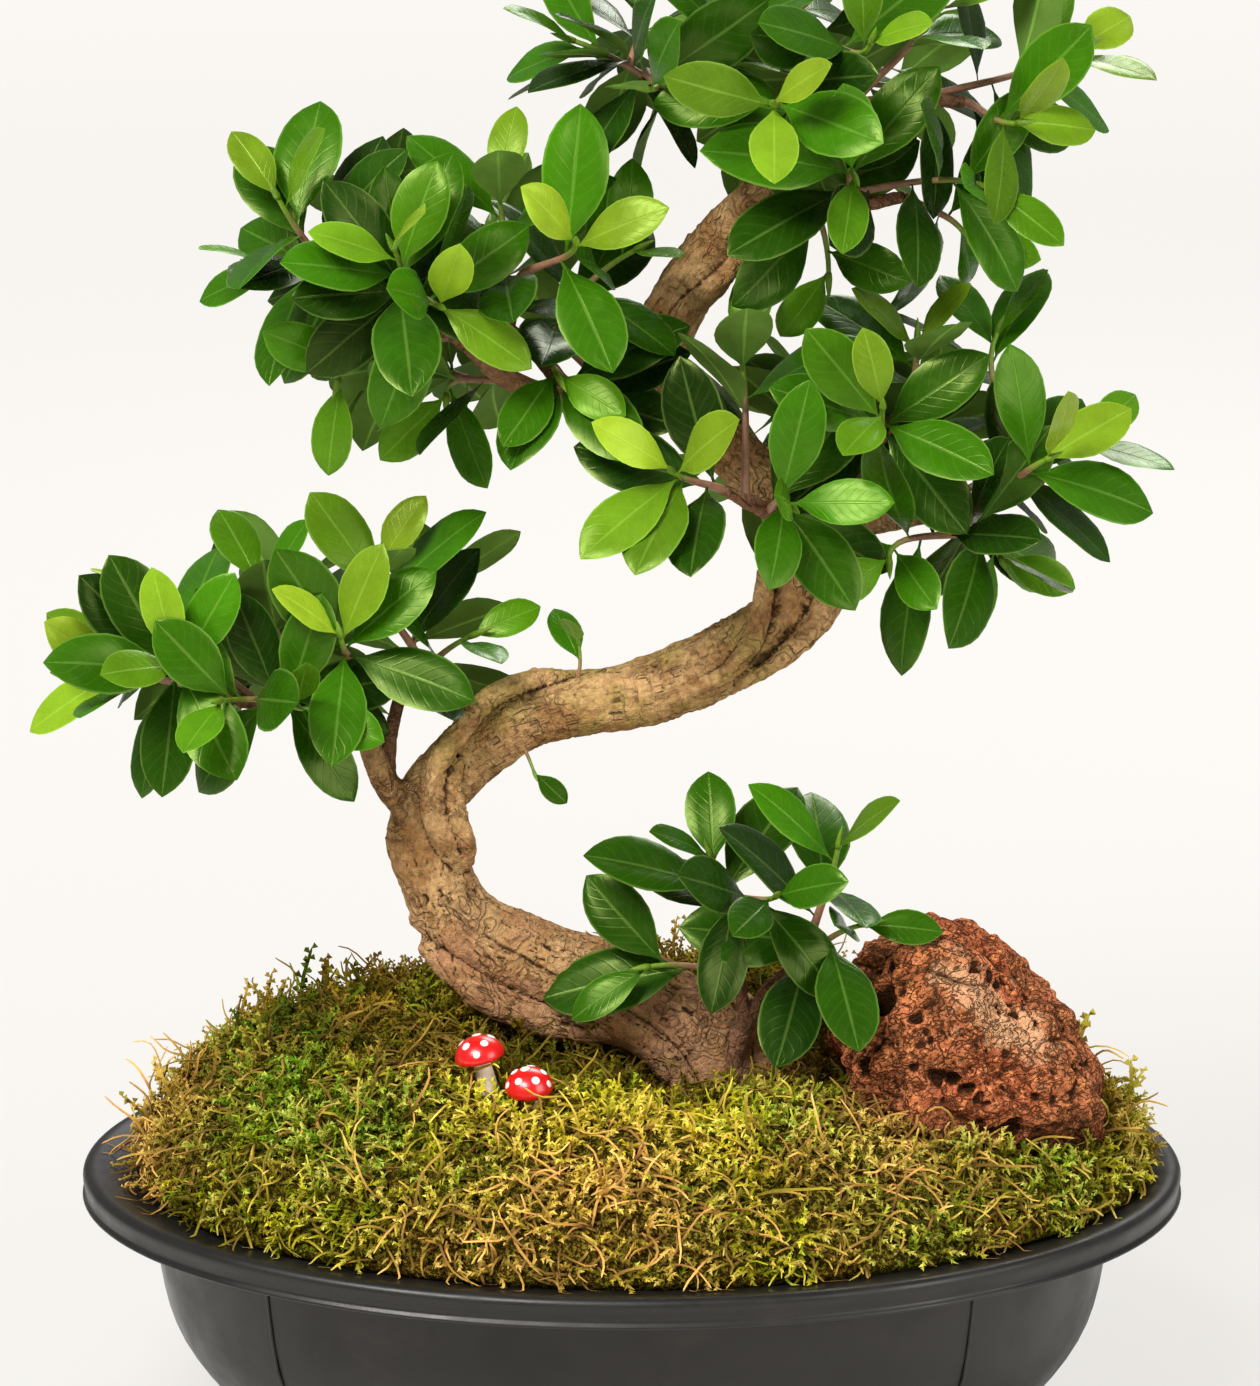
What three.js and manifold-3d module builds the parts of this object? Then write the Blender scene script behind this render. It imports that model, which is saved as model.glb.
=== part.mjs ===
// Ficus bonsai: an S-shaped fig tree with moss, a lava rock and two toadstool picks in an oval plastic bowl.
// Millimetres, +Z up. The origin is under the middle of the bowl, on its flat foot. The front looks along +Y.
import * as THREE from "three";
import { mergeVertices } from "three/addons/utils/BufferGeometryUtils.js";
import Module from "manifold-3d";

const wasm = await Module();
wasm.setup();

// Driving sizes
const GAP = 0.4; // left between pieces that touch
const POT_WIDENING = 53; // how much longer the oval bowl is than it is deep, on each side
const ROUND = 32; // sides of the bowl, the soil and the moss
const FLANGE_INNER = 152; // half depth at the inner edge of the flange
const FLANGE_OUTER = 174;
const FLANGE_LOW = 111.3;
const FLANGE_HIGH = 116.3;
const MOSS_RISE = 70; // height of the moss over the rim
const LEAF_LENGTH = 49; // a full-grown leaf with its stalk
const STALK_LENGTH = 4;
const KEEL = 1.4; // thickness of a blade at its midrib
const GOLDEN_TURN = THREE.MathUtils.degToRad(137.5);
const LEAF_TURNS = [0, 14, -14, 28, -28]; // degrees that a leaf may turn or lift to stand clear
const LEAF_LIFTS = [0, 12, -12, 26, -26];
const LEAFY_STRETCH = 46; // the end of each stem that carries leaves
const LEAF_CLEARANCE = 0.5; // between leaves of neighbouring sprays
const FRONT_LIMIT = 25; // shoots that end behind this depth turn their leaves to the back
const SHOOT_RADIUS = 1.9;
const TIP_RADIUS = 1;
const STEM_STEPS = 4;
const SHORTEST_SHOOT = 24;
const FORK_SHARE = 0.5; // where a second shoot leaves the first one
const TRUNK_SIDES = 8;
const STRAND_STEPS = 7;
const FULL_WIDENING = 140; // half depth from which the oval has its whole widening

// Bowl profile, half depth and height, from the foot up the outside and down the inside
const POT_PROFILE = [
  [0, 0], [100, 0], [118, 11], [133, 31], [144, 57], [150, 107.5], [172, 110.5], [173.5, 104.5],
  [178.5, 104], [178, 113], [FLANGE_OUTER, FLANGE_HIGH], [FLANGE_INNER, FLANGE_LOW],
  [147, 104], [141, 57], [129, 30], [100, 4.5], [0, 4.5],
];
const SOIL_SIDE = [[0, 4.9], [99.7, 4.9], [128.4, 30.3], [140.4, 57.2], [145.8, 98]];
const SOIL_TOP = [[90, 113], [0, 120]];
const MOSS_RINGS = [0.95, 0.86, 0.72, 0.52, 0.28, 0]; // shares of the way out from the middle
const MOSS_SIDE = [[145.6, 98.6], [146.4, 104.3], [151.4, 111.8]];
const MOSS_EDGE = 156; // half depth at the moss's edge, which lies on the flange
const MOSS_EDGE_DEPTH = 4;
const MOSS_OVERHANG = 0.07; // how much farther out the moss reaches at the right
const DRAIN_HOLES = [[-75, -35], [-75, 35], [0, -55], [0, 55], [75, -35], [75, 35]];
const DRAIN_RADIUS = 6;

// Swellings and hollows of the moss: x, y, height, spread
const MOSS_SWELLS = [[-130, 45, 13, 45], [60, 62, 13, 42], [32, -20, -30, 40], [-40, -40, -4, 45]];

// The trunk's middle line and radius, from the root to the crown
const TRUNK = [
  [36, -12, 92, 24], [36, -13, 135, 23], [34, -14, 160, 22], [20, -14, 178, 21], [0, -12, 190, 21],
  [-23, -10, 197, 20], [-48, -8, 207, 18], [-70, -6, 220, 17], [-81, -4, 238, 16], [-86, -2, 256, 16],
  [-82, 0, 274, 15], [-69, 2, 289, 14], [-49, 2, 303, 13.5], [-24, 0, 312, 13], [10, 0, 318, 13],
  [34, 2, 327, 13.5], [52, 4, 339, 14], [65, 6, 355, 13], [70, 8, 373, 13], [62, 12, 396, 12],
  [42, 16, 414, 11], [22, 18, 430, 10.5], [11, 18, 449, 11], [15, 16, 469, 12], [27, 12, 491, 12],
  [39, 8, 509, 10], [53, 4, 527, 7.5], [63, 0, 547, 6], [66, -3, 572, 4.8], [64, -3, 594, 3.6],
];
const FOOT = { top: 168, bottom: 88, topRadius: 22, bottomRadius: 33 }; // the root flare in the soil

// Strands that twist round the trunk: start and end along it, start and end angle, thickness share
const STRANDS = [
  [0.28, 0.47, 250, 60, 0.5], [0.07, 0.3, 200, 330, 0.52], [0.5, 0.66, 20, 200, 0.5],
  [0.72, 0.86, 100, 330, 0.55],
];

// Woody branches: points, start radius, end radius and the mass of leaves that each carries
const BRANCHES = {
  lowLeft: [[[-84, -2, 262], [-99, -5, 276], [-107, -8, 293], [-112, -10, 314], [-116, -11, 334]], 7, 3],
  lowLeftSide: [[[-110, -9, 302], [-119, -9, 316], [-133, -9, 319], [-153, -8, 314], [-173, -9, 321],
    [-190, -11, 329]], 4, 2.4],
  lowLeftTwig: [[[-101, -5, 278], [-100, 0, 298], [-95, 8, 316], [-88, 12, 328]], 3.6, 2.4],
  midLeft: [[[22, 18, 430], [-2, 12, 433], [-22, 6, 437], [-51, -2, 449], [-72, -6, 468], [-98, -8, 477],
    [-120, -8, 490]], 6.5, 2.6],
  midLeftUp: [[[-51, -2, 449], [-50, -8, 474], [-44, -14, 494]], 4, 2.4],
  midLeftBack: [[[-22, 6, 437], [-42, 22, 458], [-68, 32, 474], [-92, 36, 486]], 4, 2.4],
  midRight: [[[70, 8, 373], [88, 2, 386], [112, -4, 392], [134, -6, 397], [152, -6, 404], [168, -6, 408]],
    6.5, 2.6],
  midRightFront: [[[64, 11, 390], [55, -10, 396], [46, -26, 403], [36, -36, 410]], 4.5, 2.4],
  midRightUp: [[[88, 2, 386], [94, 0, 408], [102, -3, 426], [114, 2, 438]], 4.5, 2.4],
  midRightBack: [[[64, 11, 390], [72, 32, 400], [92, 40, 405]], 4.5, 2.6],
  crownLow: [[[45, 6, 516], [66, 2, 521], [89, -2, 520], [110, -6, 524]], 5, 2.6],
  crownRight: [[[63, 0, 547], [86, 0, 558], [112, -2, 562], [134, -4, 562]], 4.5, 2.6],
  crownLeft: [[[62, 0, 542], [40, 0, 556], [20, -4, 563], [6, -3, 574]], 4.5, 2.6],
  crownBack: [[[65, -2, 560], [72, 22, 566], [84, 34, 563]], 4, 2.6],
  basalRight: [[[38, -26, 150], [45, -28, 176], [54, -27, 194], [67, -29, 209], [74, -34, 224]], 4.2, 2.4],
  basalLeft: [[[47, -28, 182], [44, -30, 206], [41, -33, 222]], 3, 2.2],
};

// Masses of leaves, and the branches that carry each
const MASSES = {
  lower_left: ["lowLeft", "lowLeftSide", "lowLeftTwig"],
  middle_left: ["midLeft", "midLeftUp", "midLeftBack"],
  middle_right: ["midRight", "midRightFront", "midRightUp", "midRightBack"],
  crown: ["crownLow", "crownRight", "crownLeft", "crownBack", "trunkTop"],
  basal: ["basalRight", "basalLeft"],
  trunk: ["trunkBend"],
};

// Leafy shoots: their mass, spray number, place of the tip, the way it points, number of leaves, leaf size.
// A second shoot with the same number forks from the first one's stem, and both are one spray.
const SHOOTS = [
  ["lower_left", 1, [-184, -45, 341], [-2, -5, 5], 9, 1],
  ["lower_left", 2, [-216, -12, 330], [-6, -2, 2], 9, 1],
  ["lower_left", 3, [-118, -38, 350], [-1, -3, 6], 9, 1],
  ["lower_left", 4, [-104, -2, 372], [1, -1, 6], 9, 1],
  ["lower_left", 5, [-202, 4, 356], [-4, -1, 6], 9, 1],
  ["lower_left", 6, [-154, 8, 363], [-1, 0, 6], 9, 1],
  ["lower_left", 7, [-166, -52, 326], [-2, -6, 1], 8, 1],
  ["lower_left", 7, [-136, -44, 322], [3, -6, 0], 8, 0.95],
  ["lower_left", 8, [-66, -4, 342], [6, -2, 3], 9, 0.95],
  ["lower_left", 9, [-78, 48, 354], [4, 4, 4], 9, 1],
  ["lower_left", 10, [-183, 54, 346], [-4, 4, 3], 9, 1],
  ["lower_left", 10, [-140, 62, 350], [1, 5, 4], 8, 1],
  ["middle_left", 1, [-22, -58, 513], [0, -6, 3], 9, 1.05],
  ["middle_left", 2, [-142, -20, 526], [-3, -1, 6], 9, 1.05],
  ["middle_left", 3, [-94, -54, 510], [-2, -4, 5], 9, 1],
  ["middle_left", 3, [-76, -48, 486], [2, -6, 0], 8, 1],
  ["middle_left", 4, [-54, -8, 528], [-1, 0, 6], 9, 1.05],
  ["middle_left", 5, [-150, 0, 496], [-6, 0, 1], 9, 1],
  ["middle_left", 6, [-118, -28, 452], [-2, -3, -5], 7, 1],
  ["middle_left", 7, [-76, 8, 440], [0, -2, -6], 8, 1],
  ["middle_left", 7, [-104, 30, 452], [-4, 3, -3], 8, 1],
  ["middle_left", 8, [-30, -28, 455], [2, -5, -3], 9, 1],
  ["middle_left", 9, [2, -8, 503], [5, -3, 3], 9, 1],
  ["middle_left", 10, [-118, 56, 512], [-2, 5, 4], 9, 1],
  ["middle_left", 11, [-60, 66, 502], [1, 6, 3], 9, 1],
  ["middle_right", 1, [16, -66, 423], [-2, -6, 3], 10, 1.1],
  ["middle_right", 2, [100, -46, 445], [0, -5, 5], 9, 1],
  ["middle_right", 3, [116, 0, 464], [0, 0, 6], 9, 1],
  ["middle_right", 4, [168, -24, 420], [5, -3, 3], 9, 1],
  ["middle_right", 5, [44, -4, 460], [-1, -2, 6], 9, 1.1],
  ["middle_right", 6, [150, 16, 466], [3, 1, 6], 9, 1],
  ["middle_right", 7, [150, -22, 378], [3, -2, -5], 8, 1],
  ["middle_right", 7, [104, -32, 380], [0, -5, -4], 8, 1],
  ["middle_right", 8, [64, -58, 407], [2, -6, -1], 9, 1],
  ["middle_right", 9, [190, 8, 424], [6, 1, 2], 9, 1],
  ["middle_right", 10, [130, 64, 420], [3, 5, 2], 9, 1],
  ["middle_right", 11, [74, 62, 436], [0, 5, 4], 9, 1],
  ["middle_right", 11, [32, 54, 404], [-4, 4, 0], 8, 1],
  ["crown", 1, [6, -28, 570], [-5, -3, 1], 9, 1],
  ["crown", 2, [55, -60, 568], [0, -6, 2], 9, 1],
  ["crown", 3, [94, -42, 590], [1, -4, 4], 9, 1],
  ["crown", 4, [154, -24, 556], [5, -3, 1], 9, 1],
  ["crown", 5, [180, 4, 582], [6, 0, 3], 9, 1],
  ["crown", 6, [-24, 2, 586], [-6, 0, 2], 9, 1],
  ["crown", 6, [2, 20, 600], [-3, 3, 5], 8, 1],
  ["crown", 7, [38, -6, 608], [-2, -1, 6], 9, 1],
  ["crown", 7, [78, 4, 616], [1, 1, 6], 9, 1],
  ["crown", 8, [126, 6, 604], [3, 0, 6], 9, 1],
  ["crown", 9, [88, -38, 537], [1, -5, -2], 9, 1.1],
  ["crown", 10, [136, 0, 506], [3, -1, -5], 8, 0.95],
  ["crown", 11, [144, -28, 530], [3, -4, -1], 9, 1],
  ["crown", 12, [48, 66, 576], [-2, 6, 2], 9, 1],
  ["crown", 12, [116, 66, 562], [3, 6, 1], 9, 1],
  ["crown", 13, [80, 6, 490], [0, -1, -6], 7, 1],
  ["basal", 1, [32, -42, 259], [-2, -2, 6], 8, 1.05],
  ["basal", 1, [58, -62, 247], [1, -6, 3], 7, 1],
  ["basal", 2, [84, -46, 264], [1, -1, 6], 7, 1.05],
  ["basal", 3, [6, -50, 214], [-6, -3, 0], 6, 1.1],
  ["basal", 4, [94, -54, 233], [5, -3, 2], 7, 1],
  ["trunk", 1, [-22, -6, 340], [-1, -1, 5], 4, 0.6],
  ["trunk", 2, [-40, -14, 286], [2, -3, -5], 2, 0.5],
];

// Lava rock: middle, half sizes, and the cuts that flatten it (direction and distance from the middle)
const ROCK_MIDDLE = [138, -34, 172];
const ROCK_CUTS = [
  [1, 0, -0.1, 61], [-1, 0, -0.3, 50], [0, 0, -1, 44], [0, 0.1, 1, 57], [0.62, 0, 0.78, 43],
  [0.93, -0.1, 0.36, 49], [-0.66, 0, 0.75, 60], [-0.94, -0.1, 0.34, 65], [0, -1, 0.1, 46], [0, 1, 0.1, 44],
  [-0.45, -0.8, 0.4, 52], [0.45, -0.75, 0.5, 44], [0.6, 0.7, 0.4, 48], [-0.6, 0.7, 0.4, 52],
  [0.3, -0.6, -0.75, 50], [-0.6, -0.5, -0.6, 52],
];
const ROCK_ROUNDNESS = 14; // the higher, the sharper the edges between the cuts

// Toadstool picks: foot of the stem, lean, stem length, cap radius
const PICKS = [
  { foot: [-57, -66, 161], lean: [-0.2, 0, 1], stem: 20, cap: 10.5 },
  { foot: [-41, -74, 155], lean: [0.12, -0.25, 1], stem: 15, cap: 10 },
];

const COLOURS = {
  pot: [0x2b2a29, 0.45], soil: [0x33261b, 0.95], moss: [0x6f7a2c, 1], rock: [0x7a4129, 0.95],
  wood: [0x8a6f4e, 0.85], cap: [0xc71818, 0.3], stem: [0xe9e4d8, 0.6], leaf: [0x2f7a1f, 0.35],
};

const vector = (p) => new THREE.Vector3(p[0], p[1], p[2]);
const group = new THREE.Group();

// A closed geometry as a solid, and a solid as a geometry
function solidOf(geometry) {
  const bare = geometry.clone();
  bare.deleteAttribute("normal");
  bare.deleteAttribute("uv");
  const merged = mergeVertices(bare, 1e-4);
  return new wasm.Manifold(new wasm.Mesh({
    numProp: 3,
    vertProperties: new Float32Array(merged.attributes.position.array),
    triVerts: new Uint32Array(merged.index.array),
  }));
}

function geometryOf(solid) {
  const mesh = solid.getMesh();
  const geometry = new THREE.BufferGeometry();
  geometry.setAttribute("position", new THREE.BufferAttribute(mesh.vertProperties, 3));
  geometry.setIndex(new THREE.BufferAttribute(mesh.triVerts, 1));
  return geometry;
}

function addMesh(name, solid, [colour, roughness]) {
  const material = new THREE.MeshStandardMaterial({ color: colour, roughness, metalness: 0 });
  const mesh = new THREE.Mesh(geometryOf(solid), material);
  mesh.name = name;
  group.add(mesh);
}

function largestBody(solid) {
  return solid.decompose().reduce((best, body) => (body.volume() > best.volume() ? body : best));
}

function join(solids) {
  return solids.reduce((whole, next) => whole.add(next));
}

// Moves each vertex of a geometry by a function
function reshape(geometry, move) {
  const position = geometry.attributes.position;
  const point = new THREE.Vector3();
  for (let i = 0; i < position.count; i++) {
    point.fromBufferAttribute(position, i);
    move(point);
    position.setXYZ(i, point.x, point.y, point.z);
  }
  return geometry;
}

// Seeded draws between 0 and 1
function seededDraws(seed) {
  let state = seed;
  return () => {
    state = (state * 16807) % 2147483647;
    return state / 2147483647;
  };
}

// A closed tube along a curve: a cylinder whose rings are carried onto the curve
function tube(curve, radiusAt, sides, steps, across) {
  const geometry = new THREE.CylinderGeometry(1, 1, 1, sides, steps);
  return reshape(geometry, (point) => {
    const share = THREE.MathUtils.clamp(point.y + 0.5, 0, 1);
    const along = curve.getTangent(share);
    const side = across.clone().addScaledVector(along, -across.dot(along)).normalize();
    const other = new THREE.Vector3().crossVectors(side, along);
    const radius = radiusAt(share);
    const { x, z } = point;
    point.copy(curve.getPoint(share)).addScaledVector(side, x * radius).addScaledVector(other, z * radius);
  });
}

// Bowl, soil and moss share one oval: the lathe's rings are drawn out sideways, less towards the middle
function oval(geometry) {
  geometry.rotateX(Math.PI / 2);
  return reshape(geometry, (point) => {
    const radius = Math.hypot(point.x, point.y);
    const cosine = radius > 0 ? point.x / radius : 0;
    point.x += POT_WIDENING * Math.min(1, radius / FULL_WIDENING) * cosine;
  });
}

function latheOf(profile, sides = ROUND) {
  return new THREE.LatheGeometry(profile.map(([r, z]) => new THREE.Vector2(r, z)), sides);
}

function buildPot() {
  let pot = solidOf(oval(latheOf(POT_PROFILE)));
  for (const [x, y] of DRAIN_HOLES) {
    const drill = new THREE.CylinderGeometry(DRAIN_RADIUS, DRAIN_RADIUS, 20, 8);
    pot = pot.subtract(solidOf(drill.rotateX(Math.PI / 2).translate(x, y, 0)));
  }
  return pot;
}

// The root flare, which is also the shape of the hole that it stands in
function rootFlare(grow) {
  const height = FOOT.top - FOOT.bottom;
  const [x, y] = TRUNK[0];
  const [topRadius, bottomRadius] = [FOOT.topRadius + grow, FOOT.bottomRadius + grow];
  const flare = new THREE.CylinderGeometry(topRadius, bottomRadius, height + grow, 12);
  return solidOf(flare.rotateX(Math.PI / 2).translate(x, y, (FOOT.top + FOOT.bottom - grow) / 2));
}

function buildSoil() {
  return solidOf(oval(latheOf([...SOIL_SIDE, ...SOIL_TOP]))).subtract(rootFlare(GAP));
}

// What stands in or rests on the moss, grown by the gap: the moss has a plain hole or dent for each
function mossHollows() {
  const shafts = PICKS.map((pick) => solidOf(pickShaft(pick, GAP)));
  const stem = solidOf(branchTube(BRANCHES.basalRight, GAP));
  return [rootFlare(GAP), solidOf(trunkTube(GAP)), stem, rockSolid(GAP), ...shafts];
}

function mossHeight(x, y) {
  const reach = x > 0 ? 222 : 212;
  const outward = Math.min(1, (x / reach) ** 2 + (y / 157) ** 2);
  let height = FLANGE_HIGH - 1 + MOSS_RISE * (1 - outward) ** 0.55;
  for (const [swellX, swellY, rise, spread] of MOSS_SWELLS) {
    height += rise * Math.exp(-((x - swellX) ** 2 + (y - swellY) ** 2) / (2 * spread * spread));
  }
  return height + (1 - outward) * 3 * (Math.sin(x * 0.09 + y * 0.05) + Math.sin(y * 0.11 - x * 0.03));
}

// The edge and the top are first laid out on these marks as heights, and then lifted to their places
const EDGE_LOW = 0;
const EDGE_HIGH = 1;
const TOP = 300;

function flangeTop(radius) {
  const share = (radius - FLANGE_INNER) / (FLANGE_OUTER - FLANGE_INNER);
  return THREE.MathUtils.lerp(FLANGE_LOW, FLANGE_HIGH, share);
}

function buildMoss() {
  const under = [...SOIL_TOP].reverse().map(([r, z]) => [r, z + GAP]);
  const edge = [[MOSS_EDGE, EDGE_LOW], [MOSS_EDGE, EDGE_HIGH]];
  const top = MOSS_RINGS.map((share) => [MOSS_EDGE * share, TOP]);
  const moss = latheOf([...under, ...MOSS_SIDE, ...edge, ...top]);
  reshape(moss, (point) => {
    if (![EDGE_LOW, EDGE_HIGH, TOP].includes(point.y)) return;
    const radius = Math.hypot(point.x, point.z);
    const right = Math.max(0, point.x / (radius || 1)) ** 4;
    const wider = 1 + (MOSS_OVERHANG * right * radius) / MOSS_EDGE;
    point.x *= wider;
    point.z *= wider;
    if (point.y === EDGE_LOW) point.y = flangeTop(MOSS_EDGE * wider) + GAP;
    if (point.y === EDGE_HIGH) point.y = flangeTop(MOSS_EDGE * wider) + MOSS_EDGE_DEPTH;
  });
  reshape(oval(moss), (point) => {
    if (point.z === TOP) point.z = mossHeight(point.x, point.y);
  });
  return mossHollows().reduce((rest, hollow) => rest.subtract(hollow), solidOf(moss));
}

// The rock is a ball pulled in to its cuts, with low waves for roughness
function rockReach(direction) {
  let sum = 0;
  for (const [x, y, z, distance] of ROCK_CUTS) {
    const facing = direction.dot(new THREE.Vector3(x, y, z).normalize());
    if (facing > 0) sum += (facing / distance) ** ROCK_ROUNDNESS;
  }
  const { x, y, z } = direction;
  const coarse = Math.sin(7 * x + 3 * z) * Math.sin(6 * y - 4 * x);
  const fine = Math.sin(13 * z + 5 * y) * Math.sin(11 * x);
  return sum ** (-1 / ROCK_ROUNDNESS) * (1 + 0.045 * coarse + 0.027 * fine);
}

function rockSolid(grow) {
  const geometry = new THREE.IcosahedronGeometry(1, 3);
  return solidOf(reshape(geometry, (point) => {
    const direction = point.clone().normalize();
    point.copy(direction).multiplyScalar(rockReach(direction) + grow).add(vector(ROCK_MIDDLE));
  }));
}

// Trunk
const trunkCurve = new THREE.CatmullRomCurve3(TRUNK.map(vector), false, "centripetal");

function trunkRadius(share) {
  const place = share * (TRUNK.length - 1);
  const low = Math.min(Math.floor(place), TRUNK.length - 2);
  return THREE.MathUtils.lerp(TRUNK[low][3], TRUNK[low + 1][3], place - low);
}

function trunkStrand([from, to, angleFrom, angleTo, thickness], grow) {
  const across = new THREE.Vector3(0, 1, 0);
  const points = [];
  for (let i = 0; i <= STRAND_STEPS; i++) {
    const step = i / STRAND_STEPS;
    const share = THREE.MathUtils.lerp(from, to, step);
    const angle = THREE.MathUtils.degToRad(THREE.MathUtils.lerp(angleFrom, angleTo, step));
    const along = trunkCurve.getTangent(share);
    const side = across.clone().addScaledVector(along, -across.dot(along)).normalize();
    const other = new THREE.Vector3().crossVectors(side, along);
    const out = trunkRadius(share) * (0.35 + 0.45 * Math.sin(Math.PI * step));
    points.push(trunkCurve.getPoint(share)
      .addScaledVector(side, out * Math.cos(angle)).addScaledVector(other, out * Math.sin(angle)));
  }
  const radiusAt = (s) => thickness * trunkRadius(THREE.MathUtils.lerp(from, to, s)) + grow;
  return tube(new THREE.CatmullRomCurve3(points), radiusAt, 5, STRAND_STEPS, across);
}

// All the wood over the moss, as separate tubes that run into each other
function woodTubes(grow) {
  const strands = STRANDS.map((strand) => trunkStrand(strand, grow));
  const branches = Object.values(BRANCHES).map((branch) => branchTube(branch, grow));
  return [trunkTube(grow), ...strands, ...branches];
}

function acrossFor(direction) {
  return Math.abs(direction.y) < 0.8 ? new THREE.Vector3(0, 1, 0) : new THREE.Vector3(1, 0, 0);
}

function trunkTube(grow) {
  const radiusAt = (s) => trunkRadius(s) + grow;
  return tube(trunkCurve, radiusAt, TRUNK_SIDES, TRUNK.length - 1, new THREE.Vector3(0, 1, 0));
}

function branchTube([points, from, to], grow) {
  const curve = new THREE.CatmullRomCurve3(points.map(vector), false, "centripetal");
  const way = vector(points.at(-1)).sub(vector(points[0])).normalize();
  const radiusAt = (s) => THREE.MathUtils.lerp(from, to, s) + grow;
  return tube(curve, radiusAt, 5, points.length - 1, acrossFor(way));
}

// Shoots: each leaves the nearest free point of its mass's branches, and sits on the branch's bark
const trunkAt = (from, to) => TRUNK.slice(from, to).map(([x, y, z]) => [x, y, z]);
const BRANCH_POINTS = { trunkTop: trunkAt(-3), trunkBend: trunkAt(12, 14) };
for (const [name, branch] of Object.entries(BRANCHES)) BRANCH_POINTS[name] = branch[0].slice(1);

function nearestFreePoint(mass, place, taken) {
  let best = null;
  for (const branch of MASSES[mass]) {
    for (const point of BRANCH_POINTS[branch]) {
      const distance = vector(point).distanceTo(place);
      if (taken.has(point) || distance < SHORTEST_SHOOT || (best && distance > best.distance)) continue;
      best = { point: vector(point), key: point, branch, distance };
    }
  }
  taken.add(best.key);
  return best;
}

// A point on the middle line of a shoot's stem, whose rings are joined by straight stretches
function stemPoint(curve, share) {
  const low = Math.min(Math.floor(share * STEM_STEPS), STEM_STEPS - 1);
  const next = curve.getPoint((low + 1) / STEM_STEPS);
  return curve.getPoint(low / STEM_STEPS).lerp(next, share * STEM_STEPS - low);
}

function makeShoots() {
  const made = [];
  const firstOf = {};
  const taken = new Set();
  SHOOTS.forEach(([mass, number, tip, way, leaves, size], index) => {
    const name = `leafy_spray_${mass}_${number}`;
    const end = vector(tip);
    const pointing = vector(way).normalize();
    const parent = firstOf[name];
    const fork = parent && { point: stemPoint(parent.curve, FORK_SHARE), branch: null };
    const seat = fork || nearestFreePoint(mass, end, taken);
    const start = seat.point;
    const leaving = end.clone().sub(start).normalize();
    const reach = start.distanceTo(end);
    const curve = new THREE.CubicBezierCurve3(
      start,
      start.clone().addScaledVector(leaving, reach * 0.35),
      end.clone().addScaledVector(pointing, -reach * 0.4),
      end,
    );
    const shoot = { name, mass, index, leaves, size, curve, reach, leaving, branch: seat.branch };
    if (!parent) firstOf[name] = shoot;
    made.push(shoot);
  });
  return made;
}

function shootTube(shoot) {
  const thick = shoot.size < 0.7 ? 0.6 : 1;
  const radiusAt = (s) => thick * (s > 0.99 ? 0.45 : THREE.MathUtils.lerp(SHOOT_RADIUS, TIP_RADIUS, s));
  return tube(shoot.curve, radiusAt, 4, STEM_STEPS, acrossFor(shoot.leaving));
}

// A leaf's root, direction, upper side and size, from its place on the shoot: 0 is the youngest, at the tip
function leafAt(shoot, i, turn, lift) {
  const draw = seededDraws(1009 * (shoot.index + 1) + 31 * (i + 1));
  draw();
  const older = i / Math.max(1, shoot.leaves - 1);
  const span = Math.min(0.8, LEAFY_STRETCH / shoot.reach);
  const share = 0.97 - span * older;
  const along = shoot.curve.getTangent(share);
  const up = new THREE.Vector3(0, 0, 1);
  const across = acrossFor(along);
  const side = across.clone().addScaledVector(along, -across.dot(along)).normalize();
  const other = new THREE.Vector3().crossVectors(side, along);
  const angle = GOLDEN_TURN * i + 2.4 * shoot.index + 0.5 * (draw() - 0.5);
  const spread = THREE.MathUtils.degToRad(34 + 54 * older ** 0.6 + 10 * (draw() - 0.5));
  const radial = side.multiplyScalar(Math.cos(angle)).addScaledVector(other, Math.sin(angle));
  const direction = along.clone().multiplyScalar(Math.cos(spread))
    .addScaledVector(radial, Math.sin(spread)).addScaledVector(up, 0.12).normalize();
  const outward = new THREE.Vector3(0, shoot.curve.v3.y < FRONT_LIMIT ? -1 : 1, 0);
  const above = along.clone().multiplyScalar(0.7).addScaledVector(up, 0.6).addScaledVector(outward, 0.6);
  above.addScaledVector(direction, -above.dot(direction)).normalize();
  const beside = new THREE.Vector3().crossVectors(above, direction);
  direction.applyAxisAngle(above, THREE.MathUtils.degToRad(turn));
  beside.applyAxisAngle(above, THREE.MathUtils.degToRad(turn));
  direction.applyAxisAngle(beside, THREE.MathUtils.degToRad(-lift));
  above.applyAxisAngle(beside, THREE.MathUtils.degToRad(-lift));
  const grownUp = 0.74 + 0.36 * Math.min(1, 2.4 * older);
  const length = LEAF_LENGTH * shoot.size * grownUp * (0.9 + 0.2 * draw());
  const width = length * (0.42 + 0.08 * draw());
  const arch = length * (0.06 + 0.12 * draw());
  return { root: stemPoint(shoot.curve, share), direction, above, beside, length, width, arch };
}

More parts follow.
